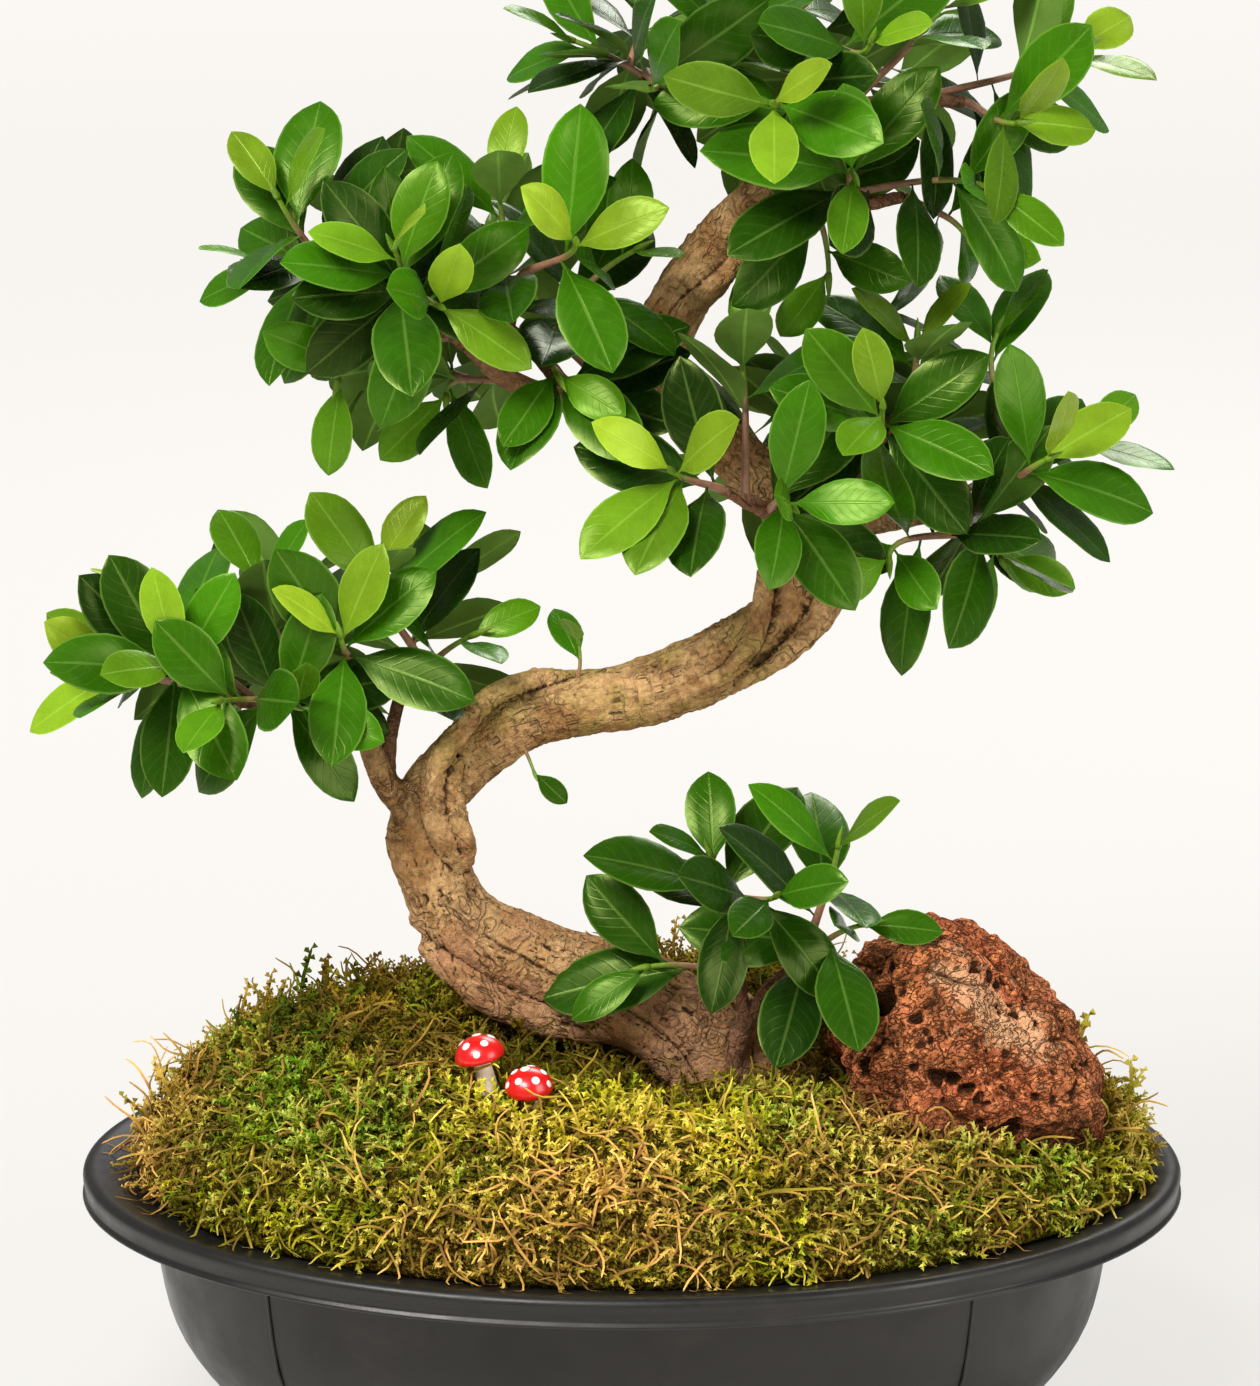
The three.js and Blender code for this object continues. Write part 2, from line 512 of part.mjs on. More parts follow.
// A blade with a keel along its midrib, arched down towards its tip, on a short stalk sunk in the stem
function blade(leaf, grow) {
  const half = leaf.width / 2 + grow;
  const long = leaf.length + grow;
  const stalk = 0.8 + grow;
  const keel = KEEL + 2 * grow;
  const rows = [[STALK_LENGTH / long, stalk, stalk], [0.4, 0.9 * half, keel], [0.75, 0.86 * half, keel]];
  const local = [[-0.5, 0, 0]];
  for (const [share, wide, deep] of rows) {
    const top = grow - leaf.arch * share * share;
    local.push([long * share, wide, top], [long * share, -wide, top], [long * share, 0, top - deep]);
  }
  local.push([long, 0, -leaf.arch]);
  const points = local.map(([x, y, z]) => leaf.root.clone()
    .addScaledVector(leaf.direction, x).addScaledVector(leaf.beside, y).addScaledVector(leaf.above, z));
  const faces = [0, 2, 1, 0, 1, 3, 0, 3, 2, 7, 8, 10, 7, 10, 9, 8, 9, 10];
  for (const left of [1, 4]) {
    const [right, low, nextLeft, nextRight, nextLow] = [1, 2, 3, 4, 5].map((step) => left + step);
    faces.push(left, right, nextRight, left, nextRight, nextLeft);
    faces.push(left, nextLeft, low, low, nextLeft, nextLow);
    faces.push(right, low, nextRight, low, nextLow, nextRight);
  }
  return new THREE.BufferGeometry().setFromPoints(points).setIndex(faces);
}

// What is already placed, with its box, so that each new leaf can be tested against its neighbours
const placed = [];

function place(owner, geometry, isStem = false) {
  geometry.computeBoundingBox();
  const solid = solidOf(geometry);
  placed.push({ owner, box: geometry.boundingBox, solid, isStem });
  return solid;
}

function isClear(owner, leaf) {
  const grown = blade(leaf, LEAF_CLEARANCE);
  grown.computeBoundingBox();
  const wide = solidOf(grown);
  const exact = solidOf(blade(leaf, 0));
  return placed.every((other) => {
    if (!other.box.intersectsBox(grown.boundingBox)) return true;
    if (other.owner !== owner) return wide.intersect(other.solid).isEmpty();
    return other.isStem || exact.intersect(other.solid).isEmpty();
  });
}

function leafThatFits(shoot, i) {
  for (const lift of LEAF_LIFTS) {
    for (const turn of LEAF_TURNS) {
      const leaf = leafAt(shoot, i, turn, lift);
      if (isClear(shoot.name, leaf)) return leaf;
    }
  }
  return null;
}

// Toadstool picks: a dome with a flat underside on a short stem whose foot is in the moss
function lean(geometry, pick) {
  const upright = new THREE.Vector3(0, 1, 0);
  const turn = new THREE.Quaternion().setFromUnitVectors(upright, vector(pick.lean).normalize());
  return geometry.applyQuaternion(turn).translate(...pick.foot);
}

function pickShaft(pick, grow) {
  const shaft = new THREE.CylinderGeometry(3.6 + grow, 5 + grow, pick.stem + grow, 10);
  return lean(shaft.translate(0, (pick.stem - grow) / 2, 0), pick);
}

function pickCap(pick) {
  const r = pick.cap;
  const dome = latheOf([[0, 0], [0.55 * r, 0], [0.97 * r, 1], [r, 2.5], [0.84 * r, 0.62 * r],
    [0.5 * r, 0.86 * r], [0, 0.97 * r]], 12);
  return lean(dome.translate(0, pick.stem + GAP, 0), pick);
}

// Everything is placed in turn: bowl, soil, moss, rock, picks, wood, stems and then the leaves
const moss = buildMoss();
const rock = rockSolid(0);
addMesh("pot", buildPot(), COLOURS.pot);
addMesh("soil", buildSoil(), COLOURS.soil);
addMesh("moss", moss, COLOURS.moss);
addMesh("lava_rock", rock, COLOURS.rock);
place("moss", geometryOf(moss));
place("lava_rock", geometryOf(rock));

PICKS.forEach((pick, index) => {
  addMesh(`toadstool_cap_${index + 1}`, place("picks", pickCap(pick)), COLOURS.cap);
  addMesh(`toadstool_stem_${index + 1}`, place("picks", pickShaft(pick, 0)), COLOURS.stem);
});

const shoots = makeShoots();
const sprays = {};
for (const shoot of shoots) sprays[shoot.name] = [];

const wood = woodTubes(0).map((piece) => place("trunk", piece));
addMesh("trunk", join([rootFlare(0), ...wood]), COLOURS.wood);

// A stem is cut by the wood grown by the gap, which leaves it a close seat on its branch
const seats = join(woodTubes(GAP).map(solidOf));
for (const shoot of shoots) {
  const stem = place(shoot.name, shootTube(shoot), true);
  sprays[shoot.name].push(shoot.branch ? largestBody(stem.subtract(seats)) : stem);
}
const mostLeaves = Math.max(...shoots.map((shoot) => shoot.leaves));
for (let i = 0; i < mostLeaves; i++) {
  for (const shoot of shoots) {
    const skipped = i % 3 === 2 || i > 6;
    if (i >= shoot.leaves || skipped) continue;
    const leaf = leafThatFits(shoot, i);
    if (leaf) sprays[shoot.name].push(place(shoot.name, blade(leaf, 0)));
  }
}
for (const [name, pieces] of Object.entries(sprays)) addMesh(name, join(pieces), COLOURS.leaf);

export default group;
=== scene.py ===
"""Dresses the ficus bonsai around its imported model: bowl, moss, lava rock, toadstools, bark and leaves."""
import math
from functools import cached_property

import bpy
import numpy as np
from bpy.props import FloatProperty, FloatVectorProperty, IntProperty, PointerProperty
from mathutils import Matrix, Vector, noise
from mathutils.bvhtree import BVHTree
from mathutils.kdtree import KDTree


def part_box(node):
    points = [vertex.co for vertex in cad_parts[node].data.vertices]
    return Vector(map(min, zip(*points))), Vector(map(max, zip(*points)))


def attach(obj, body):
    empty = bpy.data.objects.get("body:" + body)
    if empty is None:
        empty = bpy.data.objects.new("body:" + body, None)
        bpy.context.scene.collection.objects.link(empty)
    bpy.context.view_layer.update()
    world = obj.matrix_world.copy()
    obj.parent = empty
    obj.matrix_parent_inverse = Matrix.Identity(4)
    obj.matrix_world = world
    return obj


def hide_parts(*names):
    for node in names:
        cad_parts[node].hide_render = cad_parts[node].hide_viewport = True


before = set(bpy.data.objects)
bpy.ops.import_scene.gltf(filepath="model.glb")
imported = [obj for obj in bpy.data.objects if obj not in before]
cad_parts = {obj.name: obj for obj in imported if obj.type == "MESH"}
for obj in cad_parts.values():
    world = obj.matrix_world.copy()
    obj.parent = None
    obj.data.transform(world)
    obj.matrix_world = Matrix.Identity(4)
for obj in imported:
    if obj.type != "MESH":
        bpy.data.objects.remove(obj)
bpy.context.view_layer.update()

bl_info = {
    "name": "Ficus Bonsai",
    "version": (1, 0, 0),
    "blender": (4, 5, 0),
    "location": "View3D > Sidebar > Bonsai",
    "description": "Models the bowl, moss, lava rock, toadstools, bark and leaves of a ficus bonsai",
    "category": "Object",
}

MM = 0.001
UP = Vector((0, 0, 1))
SHARP_ANGLE = math.radians(75)
BOWL_SHARP_ANGLE = math.radians(50)

# Bowl: half depth and height in millimetres, up the outside, over the flange and down the inside
POT_WIDENING = 53
FULL_WIDENING = 140
POT_PROFILE = [
    (0, 0), (60, 0), (97, 0), (101, 0.4), (105, 2), (112, 6), (118.5, 11.5), (126, 20), (133, 31), (139.2, 44),
    (143.8, 57), (146.6, 73), (148.7, 91), (149.8, 104), (150.3, 107), (151.6, 108.3), (155, 108.7), (169, 109.6),
    (171.6, 109.2), (172.7, 107.4), (173.2, 104.9), (174.4, 104), (177.9, 103.8), (178.6, 104.5), (178.3, 105.4),
    (177.2, 106.3), (176.9, 107.6), (177.5, 109.8), (178.2, 111.8), (178.1, 114), (176.9, 115.7), (174.8, 116.4),
    (172.3, 116.1), (170.6, 115.4), (162, 113.3), (153.4, 111.6), (150.6, 110.6), (148.4, 108.4), (147, 104),
    (144.6, 81), (141, 57), (136.2, 43), (129, 30), (118, 17), (108, 8), (100, 4.9), (96, 4.5), (60, 4.5), (0, 4.5),
]
POT_WALL = POT_PROFILE[5:15]
POT_RIB_TURNS = (47, 137, 223, 313)
DRAIN_RADIUS = 6
DRAIN_HOLES = [(-75, -35), (-75, 35), (0, -55), (0, 55), (75, -35), (75, 35)]

# Trunk: middle line and radius in millimetres, from the root to the crown
TRUNK = [
    (36, -12, 92, 24), (36, -13, 135, 22), (34, -14, 160, 21), (20, -14, 180, 19.5), (0, -12, 191, 19.5),
    (-23, -10, 197, 19.5), (-48, -8, 207, 17.5), (-70, -6, 220, 16.5), (-81, -4, 238, 15.6), (-86, -2, 256, 15.6),
    (-82, 0, 274, 14.6), (-69, 2, 289, 13.8), (-49, 2, 303, 13.3), (-24, 0, 312, 12.9), (10, 0, 318, 12.9),
    (34, 2, 327, 13.4), (52, 4, 339, 13.6), (65, 6, 355, 12.6), (70, 8, 373, 12.6), (62, 12, 396, 11.6),
    (42, 16, 414, 10.6), (22, 18, 430, 10.2), (11, 18, 449, 10.6), (15, 16, 469, 11.5), (27, 12, 491, 11.5),
    (39, 8, 509, 9.7), (53, 4, 527, 7.4), (63, 0, 547, 6), (66, -3, 572, 4.8), (64, -3, 594, 3.6),
]
# Strands fused to the trunk: points with radius
STRANDS = [
    [(-72, -12, 246, 4), (-77, -15.5, 257, 5.2), (-82, -17, 272, 5.2), (-81, -16.5, 287, 4.8),
     (-74, -15, 300, 4.6), (-66, -12.5, 310, 4.6), (-57, -9, 318, 4.6), (-46, -5, 322.5, 4.4), (-32, -1, 324, 4),
     (-18, 2, 323, 3.2)],
    [(-69, -9, 246, 3.6), (-69, -13, 256, 4.6), (-72, -15, 268, 4.4), (-73, -15, 281, 3.6), (-71, -13, 292, 2.6)],
    [(-88, -6, 226, 8), (-72, -16, 218, 8.5), (-55, -20, 208, 8.5), (-38, -22, 200, 8.5), (-21, -24, 192, 8.5),
     (-3, -26, 183, 8.5), (14, -28, 170, 8), (26, -28, 152, 8), (30, -28, 135, 8)],
    [(-84, -10, 214, 6), (-72, -20, 203, 7), (-58, -23, 193, 7.5), (-40, -24, 186, 8), (-24, -24, 182, 8),
     (-8, -24, 181, 8), (8, -25, 174, 7), (20, -26, 158, 7)],
    [(56, -12, 184, 8), (54, -17, 168, 8), (50, -20, 150, 8), (50, -22, 132, 8)],
    [(30, -1, 187, 9), (46, 2, 178, 9), (55, 4, 160, 9), (60, 6, 138, 9)],
    [(0, 4, 196, 9), (16, 6, 184, 9), (22, 10, 164, 9), (20, 14, 140, 9)],
    [(78, 2, 378, 4.5), (81, -1, 367, 6), (80, -4, 357, 6), (75, -6, 348, 5.4), (67, -8, 339, 4.8),
     (57, -9, 330, 3.6), (44, -9, 323, 2.5)],
    [(55, -7, 372, 3.6), (54, -8, 360, 4.6), (52, -9.5, 348, 4.8), (47, -10.5, 337, 4.2), (38, -11, 328, 3.4),
     (24, -11, 321, 2.6)],
    [(68, 12, 352, 5), (72, 17, 366, 5), (66, 21, 384, 5), (52, 24, 402, 4.5), (34, 25, 417, 4)],
    [(-20, 9, 314, 4), (-2, 12, 322, 5), (18, 12, 330, 5), (38, 12, 340, 5), (56, 12, 352, 4)],
    [(12, 10, 446, 4.5), (14, 6, 462, 5), (24, 3, 478, 5), (37, 2, 490, 5), (46, 5, 503, 4.5), (50, 9, 516, 3.6)],
    [(4, 20, 452, 4), (8, 24, 470, 5), (20, 22, 490, 5.4), (27, 17, 503, 4.6)],
]
# Woody branches: points, start radius and end radius
BRANCHES = {
    "lowLeft": ([(-84, -2, 262), (-99, -5, 276), (-107, -8, 293), (-112, -10, 314), (-116, -11, 334)], 7, 3),
    "lowLeftSide": ([(-110, -9, 302), (-119, -9, 316), (-133, -9, 319), (-153, -8, 314), (-173, -9, 321),
                     (-190, -11, 329)], 4, 2.4),
    "lowLeftTwig": ([(-101, -5, 278), (-100, 0, 298), (-95, 8, 316), (-88, 12, 328)], 3.6, 2.4),
    "midLeft": ([(22, 18, 430), (-2, 12, 433), (-22, 6, 437), (-51, -2, 449), (-72, -6, 468), (-98, -8, 477),
                 (-120, -8, 490)], 6.5, 2.6),
    "midLeftUp": ([(-51, -2, 449), (-50, -8, 474), (-44, -14, 494)], 4, 2.4),
    "midLeftBack": ([(-22, 6, 437), (-42, 22, 458), (-68, 32, 474), (-92, 36, 486)], 4, 2.4),
    "midRight": ([(70, 8, 373), (88, 2, 386), (112, -4, 392), (134, -6, 397), (152, -6, 404),
                  (168, -6, 408)], 6.5, 2.6),
    "midRightFront": ([(64, 11, 390), (55, -10, 396), (46, -26, 403), (36, -36, 410)], 4.5, 2.4),
    "midRightUp": ([(88, 2, 386), (94, 0, 408), (102, -3, 426), (114, 2, 438)], 4.5, 2.4),
    "midRightBack": ([(64, 11, 390), (72, 32, 400), (92, 40, 405)], 4.5, 2.6),
    "crownLow": ([(45, 6, 516), (66, 2, 521), (89, -2, 520), (110, -6, 524)], 5, 2.6),
    "crownRight": ([(63, 0, 547), (86, 0, 558), (112, -2, 562), (134, -4, 562)], 4.5, 2.6),
    "crownLeft": ([(62, 0, 542), (40, 0, 556), (20, -4, 563), (6, -3, 574)], 4.5, 2.6),
    "crownBack": ([(65, -2, 560), (72, 22, 566), (84, 34, 563)], 4, 2.6),
    "basalRight": ([(38, -26, 150), (45, -28, 176), (54, -27, 194), (67, -29, 209), (74, -34, 224)], 4.2, 2.4),
    "basalLeft": ([(47, -28, 182), (44, -30, 206), (41, -33, 222)], 3, 2.2),
}
# Where strands meet, the bark has a seam this wide and deep
SEAM_WIDTH = 1
SEAM_DEPTH = 0.9
TRUNK_SEATS = {"trunkTop": [p[:3] for p in TRUNK[-3:]], "trunkBend": [p[:3] for p in TRUNK[12:14]]}
MASSES = {
    "lower_left": ("lowLeft", "lowLeftSide", "lowLeftTwig"),
    "middle_left": ("midLeft", "midLeftUp", "midLeftBack"),
    "middle_right": ("midRight", "midRightFront", "midRightUp", "midRightBack"),
    "crown": ("crownLow", "crownRight", "crownLeft", "crownBack", "trunkTop"),
    "basal": ("basalRight", "basalLeft"),
    "trunk": ("trunkBend",),
}
# Leafy shoots of each mass: spray number, place of the tip, the way it points, leaves and leaf size
SHOOTS = {
    "lower_left": [
        (1, -184, -45, 341, -2, -5, 5, 9, 1), (2, -216, -12, 330, -6, -2, 2, 9, 1),
        (3, -118, -38, 350, -1, -3, 6, 9, 1), (4, -104, -2, 372, 1, -1, 6, 9, 1),
        (5, -202, 4, 356, -4, -1, 6, 9, 1), (6, -154, 8, 363, -1, 0, 6, 9, 1),
        (7, -166, -52, 326, -2, -6, 1, 8, 1), (7, -136, -44, 322, 3, -6, 0, 8, 0.95),
        (8, -66, -4, 342, 6, -2, 3, 9, 0.95), (9, -78, 48, 354, 4, 4, 4, 9, 1),
        (10, -183, 54, 346, -4, 4, 3, 9, 1), (10, -140, 62, 350, 1, 5, 4, 8, 1),
    ],
    "middle_left": [
        (1, -22, -58, 513, 0, -6, 3, 9, 1.05), (2, -142, -20, 526, -3, -1, 6, 9, 1.05),
        (3, -94, -54, 510, -2, -4, 5, 9, 1), (3, -76, -48, 486, 2, -6, 0, 8, 1),
        (4, -54, -8, 528, -1, 0, 6, 9, 1.05), (5, -150, 0, 496, -6, 0, 1, 9, 1),
        (6, -118, -28, 452, -2, -3, -5, 7, 1), (7, -76, 8, 440, 0, -2, -6, 8, 1),
        (7, -104, 30, 452, -4, 3, -3, 8, 1), (8, -30, -28, 455, 2, -5, -3, 9, 1),
        (9, 2, -8, 503, 5, -3, 3, 9, 1), (10, -118, 56, 512, -2, 5, 4, 9, 1), (11, -60, 66, 502, 1, 6, 3, 9, 1),
    ],
    "middle_right": [
        (1, 16, -66, 423, -2, -6, 3, 10, 1.1), (2, 100, -46, 445, 0, -5, 5, 9, 1),
        (3, 116, 0, 464, 0, 0, 6, 9, 1), (4, 168, -24, 420, 5, -3, 3, 9, 1),
        (5, 44, -4, 460, -1, -2, 6, 9, 1.1), (6, 150, 16, 466, 3, 1, 6, 9, 1),
        (7, 150, -22, 378, 3, -2, -5, 8, 1), (7, 104, -32, 380, 0, -5, -4, 8, 1),
        (8, 64, -58, 407, 2, -6, -1, 9, 1), (9, 190, 8, 424, 6, 1, 2, 9, 1), (10, 130, 64, 420, 3, 5, 2, 9, 1),
        (11, 74, 62, 436, 0, 5, 4, 9, 1), (11, 32, 54, 404, -4, 4, 0, 8, 1),
    ],
    "crown": [
        (1, 6, -28, 570, -5, -3, 1, 9, 1), (2, 55, -60, 568, 0, -6, 2, 9, 1), (3, 94, -42, 590, 1, -4, 4, 9, 1),
        (4, 154, -24, 556, 5, -3, 1, 9, 1), (5, 180, 4, 582, 6, 0, 3, 9, 1), (6, -24, 2, 586, -6, 0, 2, 9, 1),
        (6, 2, 20, 600, -3, 3, 5, 8, 1), (7, 38, -6, 608, -2, -1, 6, 9, 1), (7, 78, 4, 616, 1, 1, 6, 9, 1),
        (8, 126, 6, 604, 3, 0, 6, 9, 1), (9, 88, -38, 537, 1, -5, -2, 9, 1.1),
        (10, 136, 0, 506, 3, -1, -5, 8, 0.95), (11, 144, -28, 530, 3, -4, -1, 9, 1),
        (12, 48, 66, 576, -2, 6, 2, 9, 1), (12, 116, 66, 562, 3, 6, 1, 9, 1), (13, 80, 6, 490, 0, -1, -6, 7, 1),
    ],
    "basal": [
        (1, 32, -42, 259, -2, -2, 6, 8, 1.05), (1, 58, -62, 247, 1, -6, 3, 7, 1),
        (2, 84, -46, 264, 1, -1, 6, 7, 1.05), (3, 6, -50, 214, -6, -3, 0, 6, 1.1),
        (4, 94, -54, 233, 5, -3, 2, 7, 1),
    ],
    "trunk": [
        (1, -22, -6, 340, -1, -1, 5, 4, 0.6), (2, -40, -14, 286, 2, -3, -5, 2, 0.5),
    ],
}
SHORTEST_SHOOT = 24
STEM_STEPS = 4  # straight steps in which the solids follow a stem's curve
FORK_SHARE = 0.5
GOLDEN_TURN = math.radians(137.5)
LEAF_TURNS = (0, 14, -14, 28, -28)
LEAF_LIFTS = (0, 12, -12, 26, -26)
LEAFY_STRETCH = 46
FRONT_LIMIT = 25
LEAF_LENGTH = 49
LEAF_CLEARANCE = 0.4
SOLID_LEAVES = 7  # the solids have two in three of these leaves of a shoot
FEWEST_FOUND = 200
EXTRA_LEAVES = 6  # older leaves lower on each stem, which the solids go without
# How low they may hang in each mass that gets them, as the camera sees it: the slope that it looks down at
VIEW_SLOPE = 0.238
EXTRA_FLOORS = {"lower_left": 297, "middle_left": 424, "middle_right": 358, "crown": 486}
TIP_MATCH = 0.4 * MM
WARM_SHEEN = (1, 0.86, 0.62, 1)
GREEN_SHEEN = (0.8, 1, 0.28, 1)
# Leaf outline: share of the length, and half width as a share of the widest
LEAF_ROWS = [
    (0, 0.05), (0.08, 0.055), (0.15, 0.21), (0.23, 0.47), (0.33, 0.74), (0.44, 0.93), (0.56, 1), (0.68, 0.965),
    (0.78, 0.86), (0.86, 0.68), (0.925, 0.44), (0.972, 0.18), (1, 0),
]
LEAF_COLUMNS = 4
# How bright the youngest leaves are on the shoots that have just flushed; the others are at DULL
FRESHNESS = {
    "lower_left_1": 0.6, "lower_left_2": 1, "lower_left_3": 0.9, "lower_left_4": 0.9, "lower_left_5": 1,
    "middle_left_1": 1, "middle_left_2": 0.65, "middle_left_3": 0.75, "middle_left_4": 0.6,
    "middle_right_1": 1, "middle_right_2": 0.6, "middle_right_3": 0.7, "middle_right_4": 1,
    "crown_2": 0.9, "crown_3": 0.5, "crown_4": 0.8, "crown_5": 0.8, "crown_7": 0.5, "crown_8": 0.6,
    "basal_1": -0.5, "basal_2": 0.4, "basal_3": -0.6, "basal_4": -0.2, "trunk_2": -0.6,
}
DULL = 0.25

# Rock: middle, and the cuts that flatten it (direction and distance from the middle)
ROCK_MIDDLE = (138, -34, 172)
ROCK_CUTS = [
    (1, 0, -0.1, 61), (-1, 0, -0.3, 50), (0, 0, -1, 44), (0, 0.1, 1, 57), (0.62, 0, 0.78, 43),
    (0.93, -0.1, 0.36, 49), (-0.66, 0, 0.75, 60), (-0.94, -0.1, 0.34, 65), (0, -1, 0.1, 46), (0, 1, 0.1, 44),
    (-0.45, -0.8, 0.4, 52), (0.45, -0.75, 0.5, 44), (0.6, 0.7, 0.4, 48), (-0.6, 0.7, 0.4, 52),
    (0.3, -0.6, -0.75, 50), (-0.6, -0.5, -0.6, 52),
]
ROCK_ROUNDNESS = 14
ROCK_SINK = 4.5
ROCK_SEED = 41
# Cavities that show from the front: a point over each, radius and depth
ROCK_HOLES = [
    ((98, -66, 206), 8, 12), ((94, -70, 178), 5, 8), ((124, -82, 176), 5, 5), ((129, -82, 174), 5, 5.5),
    ((134, -82, 171), 4, 4), ((140, -62, 219), 3.4, 3.4), ((146, -62, 216), 3.4, 4), ((152, -62, 214), 3.6, 4),
    ((158, -60, 215), 3.4, 3), ((176, -60, 170), 3.4, 4), ((115, -72, 199), 3.4, 4), ((156, -84, 149), 7, 5),
    ((149, -84, 150), 5, 4),
]
ROCK_RIDGE = ((133, -66, 213), (168, -72, 186))  # ends of the worn, tan ridge

PICKS = [
    {"foot": (-57, -66, 161), "lean": (-0.24, 0, 1), "stem": 18.5, "cap": 10.5},
    {"foot": (-41, -74, 155), "lean": (-0.04, -0.25, 1), "stem": 15, "cap": 10},
]
# Dots: turn round the cap, angle down from its top, and radius
CAP_DOTS = [(0, 12, 2), (20, 46, 1.8), (92, 49, 1.6), (160, 46, 1.8), (232, 48, 1.7), (300, 46, 1.8), (58, 74, 1.5),
            (198, 72, 1.5), (335, 74, 1.4)]
# Half width and height, as shares of the cap's radius
CAP_RINGS = [(0, 0), (0.5, 0), (0.72, -0.01), (0.9, 0.03), (0.985, 0.1), (1, 0.2), (0.975, 0.33), (0.9, 0.5),
             (0.77, 0.67), (0.6, 0.81), (0.38, 0.92), (0.17, 0.975), (0, 0.985)]
CAP_LIFT = 0.4  # over the stem's end
# Half width, share of the stem's height, and millimetres on top of that
STEM_RINGS = [(0, 0, 0), (4.6, 0, 0), (4.9, 0, 0.6), (4.8, 0, 3), (4.3, 0.35, 0), (3.9, 0.6, 0), (3.7, 0.85, 0),
              (3.6, 1, -0.6), (3.3, 1, 0), (0, 1, 0)]

# The flange's height over the bowl's oval, by half depth, and how far out moss may hang over it
FLANGE_DEPTHS, FLANGE_HEIGHTS = zip(*POT_PROFILE[38:29:-1])
MOSS_REACH = 174
MOSS_SEED = 7
# Where moss takes root: least upward share of the slope, share of the tries, and distance from the first toadstool
STEEPEST_SEAT = 0.12
MOSS_DENSITY = 0.34
PICK_CLEARING = 8
EDGE_SLOPES = (0.12, 0.36)  # of the cushion's back, where the camera sees its edge
TUFT = 5  # strands that grow from one place
# Moss: dry patches as x, y, spread and strength
DRY_PATCHES = [(-200, -30, 34, 1.5), (-60, -130, 34, 0.9), (5, -136, 34, 1.5), (130, -112, 30, 0.7),
               (-95, -50, 22, 0.9), (89, -70, 26, 0.9), (-20, 20, 40, 0.4), (176, -40, 30, 0.3), (91, -122, 26, 0.8)]
BRIGHT_PATCHES = [(-29, -104, 44, 1.1), (-110, -92, 40, 0.7), (40, -100, 34, 1), (119, -110, 24, 0.9),
                  (-134, -60, 30, 0.4), (200, -10, 30, 0.6)]
LUSH_PATCHES = [(-147, -50, 26, 0.8), (-105, -85, 20, 1), (63, -84, 16, 0.8), (112, -116, 22, 0.9),
                (-60, -118, 14, 0.6), (170, -80, 20, 0.6), (-150, 20, 30, 0.6), (30, -138, 12, 0.7)]
# Moss: painted shade where the trunk, the rock and the leaves shade it, as x, y, spread and strength
PAINTED_SHADE_PATCHES = [(3, -38, 17, 0.9), (-40, -36, 24, 0.7), (89, -58, 14, 0.8), (-130, 10, 34, 0.6),
                (-180, -75, 12, 0.5), (-95, -40, 18, 0.5), (60, 30, 40, 0.5)]


def hue(name, red, green, blue, thing):
    """A colour setting, given as linear shares of light."""
    return FloatVectorProperty(name=name, description=f"Colour of {thing}", subtype="COLOR", size=3, min=0, max=1,
                               default=(red, green, blue))


def length(name, millimetres, words):
    """A length setting."""
    return FloatProperty(name=name, description=words, unit="LENGTH", default=millimetres * MM, min=0, precision=5)


def amount(name, default, words):
    """A setting without a unit."""
    return FloatProperty(name=name, description=words, default=default, min=0)


def tally(name, default, things):
    """A setting that says how many there are."""
    return IntProperty(name=name, description=f"Number of {things}", default=default, min=0)


class BowlSettings(bpy.types.PropertyGroup):
    colour: hue("Plastic", 0.011, 0.0103, 0.0096, "the bowl's black plastic")
    dust: hue("Dust", 0.07, 0.06, 0.05, "the soil dust on the bowl")
    soil: hue("Soil", 0.02, 0.013, 0.008, "the potting soil")
    rib_radius: length("Rib radius", 0.7, "Half width of the four mould ribs on the wall")


class MossSettings(bpy.types.PropertyGroup):
    fresh: hue("Fresh", 0.58, 0.52, 0.01, "the fresh moss tips")
    green: hue("Green", 0.205, 0.265, 0.004, "the green moss")
    olive: hue("Olive", 0.31, 0.19, 0.01, "the ageing moss")
    lush: hue("Lush", 0.15, 0.36, 0.008, "the greenest moss")
    dry: hue("Dry", 0.66, 0.345, 0.08, "the dry strings")
    # Tips: a painted highlight, the pale colour that lit strand tips fade to
    tips: hue("Tips", 0.8, 0.62, 0.26, "the pale tips that the strands fade to")
    # Gap shade: painted shade, the dark colour of the gaps between the cushion's tips
    gap_shade: hue("Ground", 0.042, 0.024, 0.003, "the gaps in the cushion")
    sprigs: tally("Sprigs", 5500, "feathery sprigs")
    strands: tally("Strands", 4400, "plain strands")
    strings: tally("Strings", 2000, "long dry strings")


class RockSettings(bpy.types.PropertyGroup):
    rust: hue("Rust", 0.5, 0.16, 0.062, "most of the lava rock")
    red: hue("Red", 0.4, 0.085, 0.034, "its redder parts")
    fleck: hue("Flecks", 0.9, 0.33, 0.11, "its orange flecks")
    # Dark: the painted shade of the pits and hollows, the dark streaks, and the lower rock
    dark: hue("Dark", 0.055, 0.02, 0.008, "its pits")
    tan: hue("Tan", 0.78, 0.43, 0.22, "its worn ridge")
    pits: tally("Pits", 420, "pits in the rock")


class ToadstoolSettings(bpy.types.PropertyGroup):
    cap: hue("Cap", 0.72, 0.006, 0.006, "the glossy caps")
    dot: hue("Dots", 0.86, 0.84, 0.82, "the raised dots")
    stem: hue("Stem", 1, 0.9, 0.72, "the stems")
    fibre: hue("Fibre", 0.3, 0.19, 0.08, "the worn lower end of the stems")


